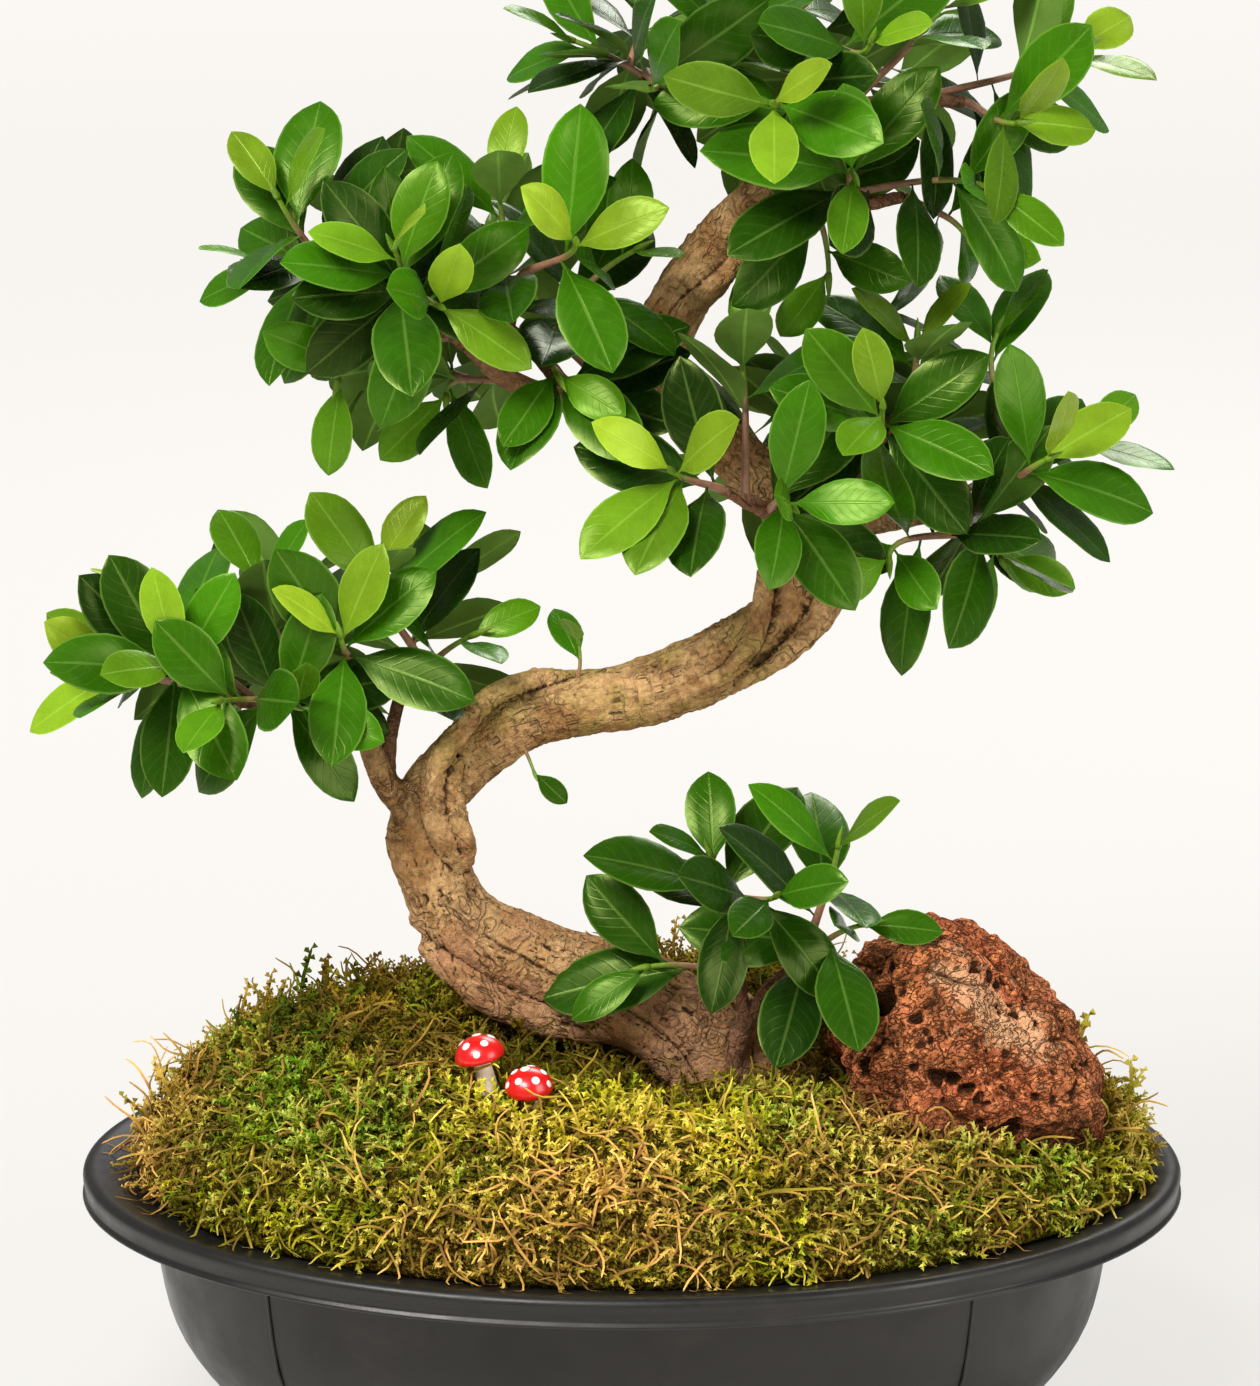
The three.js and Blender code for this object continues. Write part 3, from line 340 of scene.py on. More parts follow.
class TrunkSettings(bpy.types.PropertyGroup):
    voxel: length("Grid", 1.15, "Grid size of the wood's mesh")
    tan: hue("Bark", 0.355, 0.178, 0.064, "most of the bark")
    pale: hue("Pale bark", 0.56, 0.335, 0.145, "the worn bark")
    # Cracks: the colour of real cracks and seams, and of the painted shade in the bark's hollows
    crack_and_shade: hue("Cracks", 0.05, 0.024, 0.01, "the bark's cracks")
    olive: hue("Algae", 0.36, 0.265, 0.07, "the algae on the upper bend")
    foot: hue("Foot", 0.48, 0.24, 0.13, "the pinkish bark near the foot")
    twig: hue("Twigs", 0.25, 0.12, 0.065, "the young branches")


class LeafSettings(bpy.types.PropertyGroup):
    young: hue("Young", 0.285, 0.42, 0.02, "the youngest leaves")
    grown: hue("Grown", 0.042, 0.165, 0.002, "the grown leaves")
    old: hue("Old", 0.008, 0.031, 0.002, "the oldest leaves")
    under: hue("Underside", 0.13, 0.24, 0.038, "the undersides")
    thickness: length("Thickness", 0.45, "Thickness of a leaf at its midrib")


class StageSettings(bpy.types.PropertyGroup):
    floor: hue("Floor", 0.965, 0.94, 0.9, "the floor and what is behind it")
    glow: amount("Glow", 1, "Even light of the far floor for the camera")
    # Near glow: dimmer close to the bowl, a painted shade round it
    shaded_near_glow: amount("Near glow", 0.7, "The same close to the bowl")
    ambient: amount("Ambient", 0.24, "Strength of the light from all round")
    key: amount("Key light", 98, "Power of the softbox in watts")
    aim_height: length("Aim", 317, "Height that the camera looks at")
    distance: length("Distance", 2200, "Distance of the camera")
    elevation: FloatProperty(name="Elevation", description="Angle that the camera looks down at",
                             subtype="ANGLE", default=math.radians(13.4))
    lens: FloatProperty(name="Lens", description="Focal length in millimetres", default=138.4, min=10)


# Objects, selection and meshes


def deselect():
    bpy.ops.object.select_all(action="DESELECT")


def activate(obj):
    """Makes an object the only selected one and the active one."""
    deselect()
    obj.select_set(True)
    bpy.context.view_layer.objects.active = obj


def take_active(name):
    """The object that an operator has just added, under a name of its own."""
    made = bpy.context.object
    made.name = name
    made.data.name = name
    return made


def merge(objects, name):
    """Joins objects in one."""
    activate(objects[0])
    for obj in objects[1:]:
        obj.select_set(True)
    bpy.ops.object.join()
    return take_active(name)


def new_object(name, data):
    made = bpy.data.objects.new(name, data)
    bpy.context.scene.collection.objects.link(made)
    return made


def twin(obj):
    """A copy of an object with a mesh of its own."""
    made = obj.copy()
    made.data = obj.data.copy()
    bpy.context.scene.collection.objects.link(made)
    return made


def apply_modifier(obj, kind, **values):
    """Adds a modifier with these values and applies it."""
    activate(obj)
    modifier = obj.modifiers.new(kind.title(), kind)
    for key, value in values.items():
        setattr(modifier, key, value)
    bpy.ops.object.modifier_apply(modifier=modifier.name)


def soften(obj, times):
    apply_modifier(obj, "SMOOTH", factor=0.5, iterations=times)


def settle(obj):
    """Moves an object's place into its mesh and smooths it."""
    activate(obj)
    bpy.ops.object.transform_apply(location=True, rotation=True, scale=True)
    bpy.ops.object.shade_smooth()


def finish_piece(obj, slot, *nodes):
    """Puts a piece on the only body and hides the nodes that it stands for; the slot is not used."""
    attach(obj, "root")
    if nodes:
        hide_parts(*nodes)


def clothe(obj, *materials):
    """Gives a mesh its materials. A list that is empty isn't cleared: that would put all faces in the first."""
    if len(obj.data.materials):
        obj.data.materials.clear()
    for material in materials:
        obj.data.materials.append(material)


def edit_all(obj):
    """Starts to edit a mesh, with all of it selected."""
    activate(obj)
    bpy.ops.object.mode_set(mode="EDIT")
    bpy.ops.mesh.select_mode(type="VERT")
    bpy.ops.mesh.select_all(action="SELECT")


def leave_edit():
    bpy.ops.object.mode_set(mode="OBJECT")


def grow_rings(name, rings, sides):
    """Grows a closed shape from a circle that is extruded ring by ring.

    A ring has half width, half depth and height, or half width and height where it is round. The first and
    the last ring have no width: they are the points that close the shape.
    """
    rings = [(ring[0], ring[-2], ring[-1]) for ring in rings]
    deselect()
    bpy.ops.mesh.primitive_circle_add(vertices=sides, radius=1)
    made = take_active(name)
    edit_all(made)
    wide, deep, high = rings[1]
    bpy.ops.transform.resize(value=(wide, deep, 1), center_override=(0, 0, 0))
    bpy.ops.transform.translate(value=(0, 0, high))
    close_ring(rings[0][2] - high)
    bpy.ops.mesh.select_all(action="DESELECT")
    bpy.ops.mesh.select_non_manifold()
    for next_wide, next_deep, next_high in rings[2:-1]:
        bpy.ops.mesh.extrude_region()
        bpy.ops.transform.resize(value=(next_wide / wide, next_deep / deep, 1), center_override=(0, 0, 0))
        bpy.ops.transform.translate(value=(0, 0, next_high - high))
        wide, deep, high = next_wide, next_deep, next_high
    close_ring(rings[-1][2] - high)
    bpy.ops.mesh.select_all(action="SELECT")
    bpy.ops.mesh.normals_make_consistent(inside=False)
    leave_edit()
    return made


def close_ring(rise):
    """Closes the selected ring by a point in its middle, higher or lower than the ring."""
    bpy.ops.mesh.extrude_region()
    bpy.ops.mesh.merge(type="CENTER")
    bpy.ops.transform.translate(value=(0, 0, rise))


def vectors_of(items, key):
    flat = np.zeros(len(items) * 3)
    items.foreach_get(key, flat)
    return flat.reshape(-1, 3)


def points_of(mesh):
    return vectors_of(mesh.vertices, "co")


def normals_of(mesh):
    return vectors_of(mesh.vertex_normals, "vector")


def set_points(mesh, points):
    mesh.vertices.foreach_set("co", np.ascontiguousarray(points, float).ravel())
    mesh.update()


def add_values(mesh, name, values, kind="FLOAT", key="value"):
    """Keeps numbers for each vertex under a name that a material reads."""
    kept = mesh.attributes.new(name, kind, "POINT")
    kept.data.foreach_set(key, np.ascontiguousarray(values, np.float32).ravel())


def skin_of(mesh, scale=1):
    """A mesh's surface, for rays and for tests of what meets it."""
    faces = [face.vertices[:] for face in mesh.polygons]
    return BVHTree.FromPolygons([vertex.co / scale for vertex in mesh.vertices], faces)


def finder_of(points):
    """Finds which point is nearest to a place."""
    tree = KDTree(len(points))
    for index, point in enumerate(points):
        tree.insert(point, index)
    tree.balance()
    return tree


def noise_at(points, size, seed=0, octaves=3):
    """Fractal noise from about -1 to 1 at points in metres, with features of a size in metres."""
    shift = Vector((seed * 7.13, seed * 3.71, seed * 5.37))
    return np.array([noise.fractal(Vector(p) / size + shift, 1, 2, octaves) for p in points])


def hollowness(obj, rounds, depth):
    """How far each vertex lies under the smoothed surface, as a share of a depth; raised ones are negative."""
    soft = twin(obj)
    soften(soft, rounds)
    under = np.sum((points_of(soft.data) - points_of(obj.data)) * normals_of(obj.data), axis=1)
    bpy.data.objects.remove(soft)
    return np.clip(under / depth, -1, 1)


def smooth_step(low, high, values):
    share = np.clip((values - low) / (high - low), 0, 1)
    return share * share * (3 - 2 * share)


def unit(vectors):
    return vectors / np.maximum(np.linalg.norm(vectors, axis=-1, keepdims=True), 1e-12)


def square_to(vectors, ways):
    """What is left of vectors, one long, without their share along other ways."""
    return unit(vectors - ways * np.sum(vectors * ways, -1, keepdims=True))


class Blank:
    """A small shape modelled once. Its points, faces and UVs are carried to each copy."""

    def __init__(self, obj):
        mesh = obj.data
        self.points = points_of(mesh)
        self.loops = np.array([loop.vertex_index for loop in mesh.loops])
        self.sizes = np.array([len(face.vertices) for face in mesh.polygons])
        self.slots = np.array([face.material_index for face in mesh.polygons])
        flat = np.zeros(len(self.loops) * 2)
        if mesh.uv_layers:
            mesh.uv_layers[0].data.foreach_get("uv", flat)
        self.uvs = flat.reshape(-1, 2)
        bpy.data.objects.remove(obj)


class Heap:
    """Gathers copies of blanks, and makes them one mesh with one number per vertex for each attribute."""

    def __init__(self, *attributes):
        self.parts = []
        self.attributes = attributes

    def add(self, blank, points, slot_shift=0, **values):
        """Adds copies whose points are an array of copies, vertices and coordinates."""
        points = np.asarray(points, float).reshape(-1, len(blank.points), 3)
        spread = {
            key: np.broadcast_to(np.asarray(values[key], float).reshape(len(np.atleast_1d(values[key])), -1),
                                 points.shape[:2]).ravel() for key in self.attributes
        }
        self.parts.append((blank, points, slot_shift, spread))

    def mesh(self, name):
        start = 0
        points, loops, sizes, slots, uvs = [], [], [], [], []
        for blank, places, slot_shift, _ in self.parts:
            copies, count = places.shape[:2]
            starts = start + count * np.arange(copies)
            points.append(places.reshape(-1, 3))
            loops.append((starts[:, None] + blank.loops).ravel())
            sizes.append(np.tile(blank.sizes, copies))
            slots.append(np.tile(blank.slots + slot_shift, copies))
            uvs.append(np.tile(blank.uvs, (copies, 1)))
            start += copies * count
        points, loops, sizes, slots, uvs = map(np.concatenate, (points, loops, sizes, slots, uvs))
        mesh = bpy.data.meshes.new(name)
        mesh.vertices.add(len(points))
        mesh.vertices.foreach_set("co", points.ravel())
        mesh.loops.add(len(loops))
        mesh.loops.foreach_set("vertex_index", loops.astype(np.int32))
        mesh.polygons.add(len(sizes))
        mesh.polygons.foreach_set("loop_start", np.concatenate([[0], np.cumsum(sizes)[:-1]]).astype(np.int32))
        mesh.polygons.foreach_set("material_index", slots.astype(np.int32))
        mesh.uv_layers.new(name="UVMap").data.foreach_set("uv", uvs.ravel())
        mesh.update(calc_edges=True)
        for key in self.attributes:
            add_values(mesh, key, np.concatenate([spread[key] for *_, spread in self.parts]))
        mesh.shade_smooth()
        mesh.set_sharp_from_angle(angle=SHARP_ANGLE)
        return mesh

    def finish(self, name, slot, node, *materials):
        """Makes the heap a piece that stands for a node."""
        piece = new_object(name, self.mesh(name))
        clothe(piece, *materials)
        finish_piece(piece, slot, node)


def carry(blank, path, side, widths, low=-1, high=2):
    """Carries a blank that stands along Z from 0 to 1 onto paths: a function of the share, from low to high."""
    shares = blank.points[:, 2]
    before, after = np.maximum(shares - 0.01, low), np.minimum(shares + 0.01, high)
    along = unit(path(after) - path(before))
    across = square_to(side[:, None, :], along)
    beside = np.cross(along, across)
    x, y = blank.points[None, :, 0, None], blank.points[None, :, 1, None]
    return path(shares) + (across * x + beside * y) * widths


# Curves


def centripetal(points, share):
    """A point on a centripetal Catmull-Rom curve through points with any number of coordinates."""
    place = share * (len(points) - 1)
    low = min(int(place), len(points) - 2)
    part = place - low
    p1, p2 = points[low], points[low + 1]
    p0 = points[low - 1] if low > 0 else 2 * points[0] - points[1]
    p3 = points[low + 2] if low + 2 < len(points) else 2 * points[-1] - points[-2]
    d0, d1, d2 = (math.sqrt(np.linalg.norm((b - a)[:3])) for a, b in ((p0, p1), (p1, p2), (p2, p3)))
    t1 = ((p1 - p0) / d0 - (p2 - p0) / (d0 + d1) + (p2 - p1) / d1) * d1
    t2 = ((p2 - p1) / d1 - (p3 - p1) / (d1 + d2) + (p3 - p2) / d2) * d1
    return p1 + t1 * part + (3 * (p2 - p1) - 2 * t1 - t2) * part**2 + (2 * (p1 - p2) + t1 + t2) * part**3


def line_through(points, count):
    """Points with radius along a curve, in metres."""
    held = [np.array(p, float) * MM for p in points]
    return np.array([centripetal(held, k / (count - 1)) for k in range(count)])


def wood_lines():
    """The middle lines of all the wood, as arrays of x, y, z and radius."""
    lines = [line_through(TRUNK, 160)]
    lines += [line_through(strand, 8 * len(strand)) for strand in STRANDS]
    for points, start, end in BRANCHES.values():
        radii = np.linspace(start, end, len(points))
        lines.append(line_through([(*p, r) for p, r in zip(points, radii)], 8 * len(points)))
    return lines


def tubes_of(lines, name, roundness):
    """Closed tubes along lines of x, y, z and radius, as one mesh."""
    curve = bpy.data.curves.new(name, "CURVE")
    curve.dimensions = "3D"
    curve.bevel_depth = 1
    curve.bevel_resolution = roundness
    curve.use_fill_caps = True
    for line in lines:
        spline = curve.splines.new("POLY")
        spline.points.add(len(line) - 1)
        spline.points.foreach_set("co", np.column_stack([line[:, :3], np.ones(len(line))]).ravel())
        spline.points.foreach_set("radius", line[:, 3])
    activate(new_object(name, curve))
    bpy.ops.object.convert(target="MESH")
    return take_active(name)


# Materials


class Look:
    """Adds shader nodes to a tree. A value is a socket or a number, a colour a socket or three shares of light."""

    def __init__(self, tree):
        self.tree = tree

    @cached_property
    def here(self):
        """Where a point lies on its object."""
        return self.node("TexCoord").outputs["Object"]

    def link(self, value, socket):
        if isinstance(value, bpy.types.NodeSocket):
            self.tree.links.new(value, socket)
        elif socket.type == "RGBA":
            socket.default_value = (*value[:3], 1)
        else:
            socket.default_value = value

    def node(self, kind, inputs=None, **values):
        """Adds a node. An input is a socket to link or a value to set."""
        made = self.tree.nodes.new("ShaderNode" + kind)
        for key, value in values.items():
            setattr(made, key, value)
        for key, value in (inputs or {}).items():
            self.link(value, made.inputs[key])
        return made

    def math(self, operation, *values):
        return self.node("Math", dict(enumerate(values)), operation=operation).outputs[0]

    def times(self, first, second):
        return self.math("MULTIPLY", first, second)

    def most(self, first, *others):
        """The greatest of some values."""
        for other in others:
            first = self.math("MAXIMUM", first, other)
        return first

    def between(self, value, low, high, to_low=0.0, to_high=1.0, way="SMOOTHSTEP"):
        """Maps a value from one range to another."""
        inputs = dict(enumerate((value, low, high, to_low, to_high)))
        return self.node("MapRange", inputs, interpolation_type=way).outputs[0]

    def blend(self, factor, first, second, way="MIX"):
        return self.node("Mix", {0: factor, 6: first, 7: second}, data_type="RGBA", blend_type=way).outputs[2]

    def coats(self, colour, *coats):
        """A colour under coats, each given as a mask and a colour."""
        for mask, coat in coats:
            colour = self.blend(mask, colour, coat)
        return colour

    def shaded(self, colour, level):
        """A colour made lighter or darker by a level."""
        grey = self.node("CombineColor", {0: level, 1: level, 2: level}).outputs[0]
        return self.blend(1.0, colour, grey, "MULTIPLY")

    def read(self, name):
        """The number that the mesh keeps under a name."""
        return self.node("Attribute", attribute_name=name).outputs["Fac"]

    def part(self, place, index):
        """One coordinate of a place."""
        return self.node("SeparateXYZ", {0: place}).outputs[index]

    def moved(self, place, scale=(1, 1, 1), turn=(0, 0, 0)):
        return self.node("Mapping", {"Vector": place, "Rotation": turn, "Scale": scale}).outputs[0]

    def grain(self, scale, detail=3, roughness=0.5, place=None):
        place = self.here if place is None else place
        inputs = {"Vector": place, "Scale": scale, "Detail": detail, "Roughness": roughness}
        return self.node("TexNoise", inputs).outputs["Fac"]

    def worms(self, scale, width, place=None):
        """Thin wiggling lines: where a noise crosses its middle."""
        away = self.math("ABSOLUTE", self.math("SUBTRACT", self.grain(scale, 2, 0.5, place), 0.5))
        return self.between(away, width, 0.0)

    def mottled(self, colour, scale, low, high):
        inputs = {"Colour": colour, "Scale": scale, "Low": low, "High": high}
        return self.node("Group", inputs, node_tree=mottle_group()).outputs[0]

    def relief(self, coarse, fine):
        return self.node("Group", {"Coarse": coarse, "Fine": fine}, node_tree=relief_group()).outputs[0]

    def seen_directly(self, seen, otherwise):
        """A colour that the camera sees, and another that lights and mirrors the scene."""
        return self.blend(self.node("LightPath").outputs["Is Camera Ray"], otherwise, seen)


def shared_group(name, build, inputs, output):
    """A node group that several materials use, built once. A socket without a value is a colour."""
    group = bpy.data.node_groups.get(name)
    if group is None:
        group = bpy.data.node_groups.new(name, "ShaderNodeTree")
        for way, sockets in (("INPUT", inputs), ("OUTPUT", output)):
            for key, value in sockets.items():
                kind = "NodeSocketColor" if value is None else "NodeSocketFloat"
                socket = group.interface.new_socket(key, in_out=way, socket_type=kind)
                if value is not None:
                    socket.default_value = value
        taken, given = group.nodes.new("NodeGroupInput").outputs, group.nodes.new("NodeGroupOutput").inputs
        group.links.new(build(Look(group), taken), given[0])
    return group


def mottle_group():
    """Shifts a colour lighter and darker in soft patches."""
    def build(look, taken):
        patches = look.grain(taken["Scale"], 4, 0.6)
        return look.shaded(taken["Colour"], look.between(patches, 0.3, 0.7, taken["Low"], taken["High"], "LINEAR"))
    return shared_group("Mottle", build, {"Colour": None, "Scale": 60, "Low": 0.8, "High": 1.2}, {"Colour": None})


def relief_group():
    """Height of fine grain over coarser crumbs."""
    def build(look, taken):
        return look.math("MULTIPLY_ADD", look.grain(taken["Fine"], 2), 0.4, look.grain(taken["Coarse"], 3, 0.6))
    return shared_group("Relief", build, {"Coarse": 300, "Fine": 1200}, {"Height": 0})


class Finish(Look):
    """A material, made of constants on its shader and of what done() is given."""

    def __init__(self, name, **constants):
        self.material = bpy.data.materials.new(name)
        self.material.use_nodes = True
        super().__init__(self.material.node_tree)
        self.shader = self.tree.nodes["Principled BSDF"].inputs
        for key, value in constants.items():
            self.shader[key.replace("_", " ")].default_value = value

    def done(self, colour, height=None, strength=0.5, depth=0.0, roughness=None):
        """Gives the material, with bumps of a depth in metres."""
        self.link(colour, self.shader["Base Color"])
        self.material.diffuse_color = (0.5, 0.5, 0.5, 1)
        if roughness is not None:
            self.link(roughness, self.shader["Roughness"])
        if height is not None:
            bump = self.node("Bump", {"Height": height, "Strength": strength, "Distance": depth})
            self.link(bump.outputs[0], self.shader["Normal"])
        return self.material


# Bowl


def oval_rings(profile):
    """A profile's rings on the bowl's oval, which is drawn out sideways, less towards the middle."""
    return [((r + POT_WIDENING * min(1, r / FULL_WIDENING)) * MM, r * MM, z * MM) for r, z in profile]


def bowl_plastic(settings):
    look = Finish("bowl_plastic", Specular_IOR_Level=0.45, Specular_Tint=(1, 0.95, 0.89, 1))
    dust = look.between(look.grain(16, 6, 0.65), 0.56, 0.72)
    specks = look.between(look.grain(420, 2), 0.66, 0.76)
    both = look.math("MULTIPLY_ADD", dust, 0.22, look.times(specks, 0.12))
    return look.done(look.blend(both, settings.colour, settings.dust), look.relief(700, 2600), 0.14, 0.0004,
                     look.between(look.grain(34, 5, 0.6), 0.3, 0.75, 0.32, 0.52))


def soil_crumb(settings):
    look = Finish("soil_crumb", Roughness=0.95)
    return look.done(look.mottled(settings.soil, 260, 0.5, 1.9), look.relief(240, 900), 0.9, 0.002)


def mould_rib(turn, radius):
    """The line of a thin rib that follows the wall from the foot to the skirt."""
    wide, deep, high = np.array(oval_rings(POT_WALL)).T
    angle = math.radians(turn)
    return np.column_stack([wide * math.cos(angle), deep * math.sin(angle), high, np.full(len(high), radius)])


class BONSAI_OT_bowl(bpy.types.Operator):
    """Models the oval bowl with its flange, bead, skirt, mould ribs and drainage holes"""
    bl_idname = "bonsai.bowl"
    bl_label = "Bowl and soil"

    def execute(self, context):
        settings = context.scene.bonsai_bowl
        bowl = grow_rings("bowl", oval_rings(POT_PROFILE), 80)
        apply_modifier(bowl, "SUBSURF", levels=1)
        drills = []
        for x, y in DRAIN_HOLES:
            bpy.ops.mesh.primitive_cylinder_add(vertices=32, radius=DRAIN_RADIUS * MM, depth=30 * MM,
                                                location=(x * MM, y * MM, 0))
            drills.append(bpy.context.object)
        drill = merge(drills, "drill")
        apply_modifier(bowl, "BOOLEAN", operation="DIFFERENCE", object=drill, solver="EXACT")
        bpy.data.objects.remove(drill)
        ribs = tubes_of([mould_rib(turn, settings.rib_radius) for turn in POT_RIB_TURNS], "ribs", 2)
        bowl = merge([bowl, ribs], "bowl")
        settle(bowl)
        bpy.ops.object.shade_smooth_by_angle(angle=BOWL_SHARP_ANGLE)
        clothe(bowl, bowl_plastic(settings))
        finish_piece(bowl, "pot", "pot")
        clothe(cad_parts["soil"], soil_crumb(settings))
        return {"FINISHED"}


# Rock


def rock_reach(directions):
    """How far the rock reaches in each direction, in millimetres: a ball pulled in to its cuts."""
    total = np.zeros(len(directions))
    for *cut, distance in ROCK_CUTS:
        facing = directions @ unit(np.array(cut, float))
        total += np.where(facing > 0, facing / distance, 0) ** ROCK_ROUNDNESS
    x, y, z = directions.T
    coarse = np.sin(7 * x + 3 * z) * np.sin(6 * y - 4 * x)
    fine = np.sin(13 * z + 5 * y) * np.sin(11 * x)
    return total ** (-1 / ROCK_ROUNDNESS) * (1 + 0.045 * coarse + 0.027 * fine)


def dent(points, middle, radius, depth):
    """How deep a round pit with a slightly raised rim lies at each point."""
    away = np.linalg.norm(points - middle, axis=1) / radius
    return depth * (np.clip(1 - away**2, 0, 1) ** 0.7 - 0.1 * np.exp(-(((away - 1.15) / 0.22) ** 2)))


def lava(settings):
    look = Finish("lava", Roughness=0.95, Specular_IOR_Level=0.12, Specular_Tint=WARM_SHEEN)
    pit, worn, low = map(look.read, ("pit", "worn", "low"))
    ragged = look.math("MULTIPLY_ADD", look.grain(90, 6, 0.75), 2.4, look.math("SUBTRACT", worn, 1.45))
    slant = look.moved(look.moved(look.here, turn=(0.4, 0.5, 0.2)), (0.55, 1, 1.2))
    crumbs = look.between(look.grain(520, 3, 0.7), 0.56, 0.68)
    lines = look.most(look.worms(260, 0.035, slant), look.worms(90, 0.02), crumbs)
    colour = look.coats(
        settings.rust * 0.45,
        (look.between(look.grain(48, 6, 0.7), 0.42, 0.58), settings.rust),
        (look.between(look.grain(24, 3, 0.6), 0.46, 0.58, 0, 0.6), settings.red),
        (look.between(look.grain(210, 4, 0.75), 0.53, 0.62, 0, 0.8), settings.fleck),
        (look.between(look.grain(90, 5, 0.75), 0.55, 0.68, 0, 0.6), settings.tan * 0.45),
        (look.between(ragged, 0.1, 0.7, 0, 0.8), settings.tan),
        # Painted highlight: raised crags are lighter
        (look.between(pit, -0.15, -0.75, 0, 0.5), settings.rust * 1.6),
        # Painted shade in pits and hollows, with the dark streak lines
        (look.most(look.between(pit, 0.02, 0.6), look.times(lines, 0.8)), settings.dark),
        # Darker towards the bottom: partly painted shade, partly browner rock
        (look.between(low, 0, 1, 0, 0.5), settings.dark),
    )
    height = look.math("MULTIPLY_ADD", lines, -0.9, look.relief(330, 1300))
    return look.done(look.mottled(colour, 900, 0.7, 1.3), height, 1.0, 0.0018)


class BONSAI_OT_rock(bpy.types.Operator):
    """Models the lava rock: a cut ball with crags, streaks, pits and cavities"""
    bl_idname = "bonsai.rock"
    bl_label = "Lava rock"

    def execute(self, context):
        settings = context.scene.bonsai_rock
        deselect()
        bpy.ops.mesh.primitive_ico_sphere_add(subdivisions=7, radius=1)
        rock = take_active("lava_rock_crags")
        ways = unit(points_of(rock.data))
        points = np.array(ROCK_MIDDLE) * MM + ways * rock_reach(ways)[:, None] * MM
        worn = self.ridge(points)
        rough = 1 - 0.8 * worn
        slant = points @ np.array([[1, 0, 0.5], [0, 1, 0], [-0.5, 0, 1]])
        crags = 8 * np.abs(noise_at(points, 30 * MM, 3, 2)) + 3.4 * rough * np.abs(noise_at(points, 13 * MM, 14, 2))
        crags += 2 * rough * np.abs(noise_at(slant * (0.6, 1, 1.3), 6 * MM, 8, 2)) + 2.5 * worn
        pit = self.pits(points, settings.pits)
        set_points(rock.data, points + ways * (crags * MM - ROCK_SINK * MM - pit)[:, None])
        # Painted shade and highlight: hollows and deep pits are kept for the lava to darken, raised crags for it to
        # lighten
        deep = 0.5 * hollowness(rock, 6, 0.5 * MM) + 0.7 * hollowness(rock, 40, 1.6 * MM)
        add_values(rock.data, "pit", np.clip(deep + smooth_step(1.2 * MM, 5 * MM, pit), -1, 1))
        add_values(rock.data, "worn", worn)
        # Darker towards the bottom: partly painted shade, partly browner rock
        low = smooth_step(178 * MM, 140 * MM, points[:, 2] + 6 * MM * noise_at(points, 20 * MM, 44))
        add_values(rock.data, "low", low)
        apply_modifier(rock, "DECIMATE", ratio=0.75)
        settle(rock)
        clothe(rock, lava(settings))
        finish_piece(rock, "lava_rock", "lava_rock")
        return {"FINISHED"}

    def ridge(self, points):
        """How worn the rock is: 1 on its ridge, which narrows along its length, and 0 away from it."""
        start, end = np.array(ROCK_RIDGE) * MM
        share = np.clip((points - start) @ (end - start) / np.sum((end - start) ** 2), 0, 1)
        far = np.linalg.norm(points - start - share[:, None] * (end - start), axis=1) / MM
        return np.exp(-((far / (17 - 6 * share)) ** 2))

    def pits(self, points, count):
        """How deep each point lies in a small pit, or in a cavity that shows from the front."""
        draw = np.random.default_rng(ROCK_SEED)
        warped = points + np.column_stack([noise_at(points, 6 * MM, k, 2) for k in (19, 20, 21)]) * 1.7 * MM
        pit = np.zeros(len(points))
        for _ in range(count):
            seat = points[draw.integers(len(points))]
            radius = (0.9 + 2.4 * draw.random() ** 4) * MM
            pit = np.maximum(pit, dent(warped, seat, radius, 0.9 * radius))
        for seat, radius, depth in ROCK_HOLES:
            near = points[np.argmin(np.linalg.norm(points - np.array(seat) * MM, axis=1))]
            pit = np.maximum(pit, dent(warped, near, radius * MM, depth * MM))
        return pit


# Toadstools


def paint(name, colour, **constants):
    """Plain paint with slight brush marks."""
    look = Finish(name, **constants)
    return look.done(look.mottled(colour, 300, 0.93, 1.06), look.relief(420, 1500), 0.08, 0.0004)


def stem_paint(settings, foot_height):
    """White paint that is worn to brown fibres just above the moss."""
    look = Finish("stem_paint", Roughness=0.55)
    fibres = look.grain(1, 3, 0.6, look.moved(look.here, (1400, 1400, 160)))
    ragged = look.math("MULTIPLY_ADD", fibres, 0.012, look.part(look.here, 2))
    worn = look.between(ragged, foot_height + 0.0135, foot_height + 0.0085)
    brown = look.blend(look.between(fibres, 0.4, 0.62), (0.09, 0.05, 0.02), settings.fibre)
    return look.done(look.blend(worn, settings.stem, brown), fibres, 0.25, 0.0008)


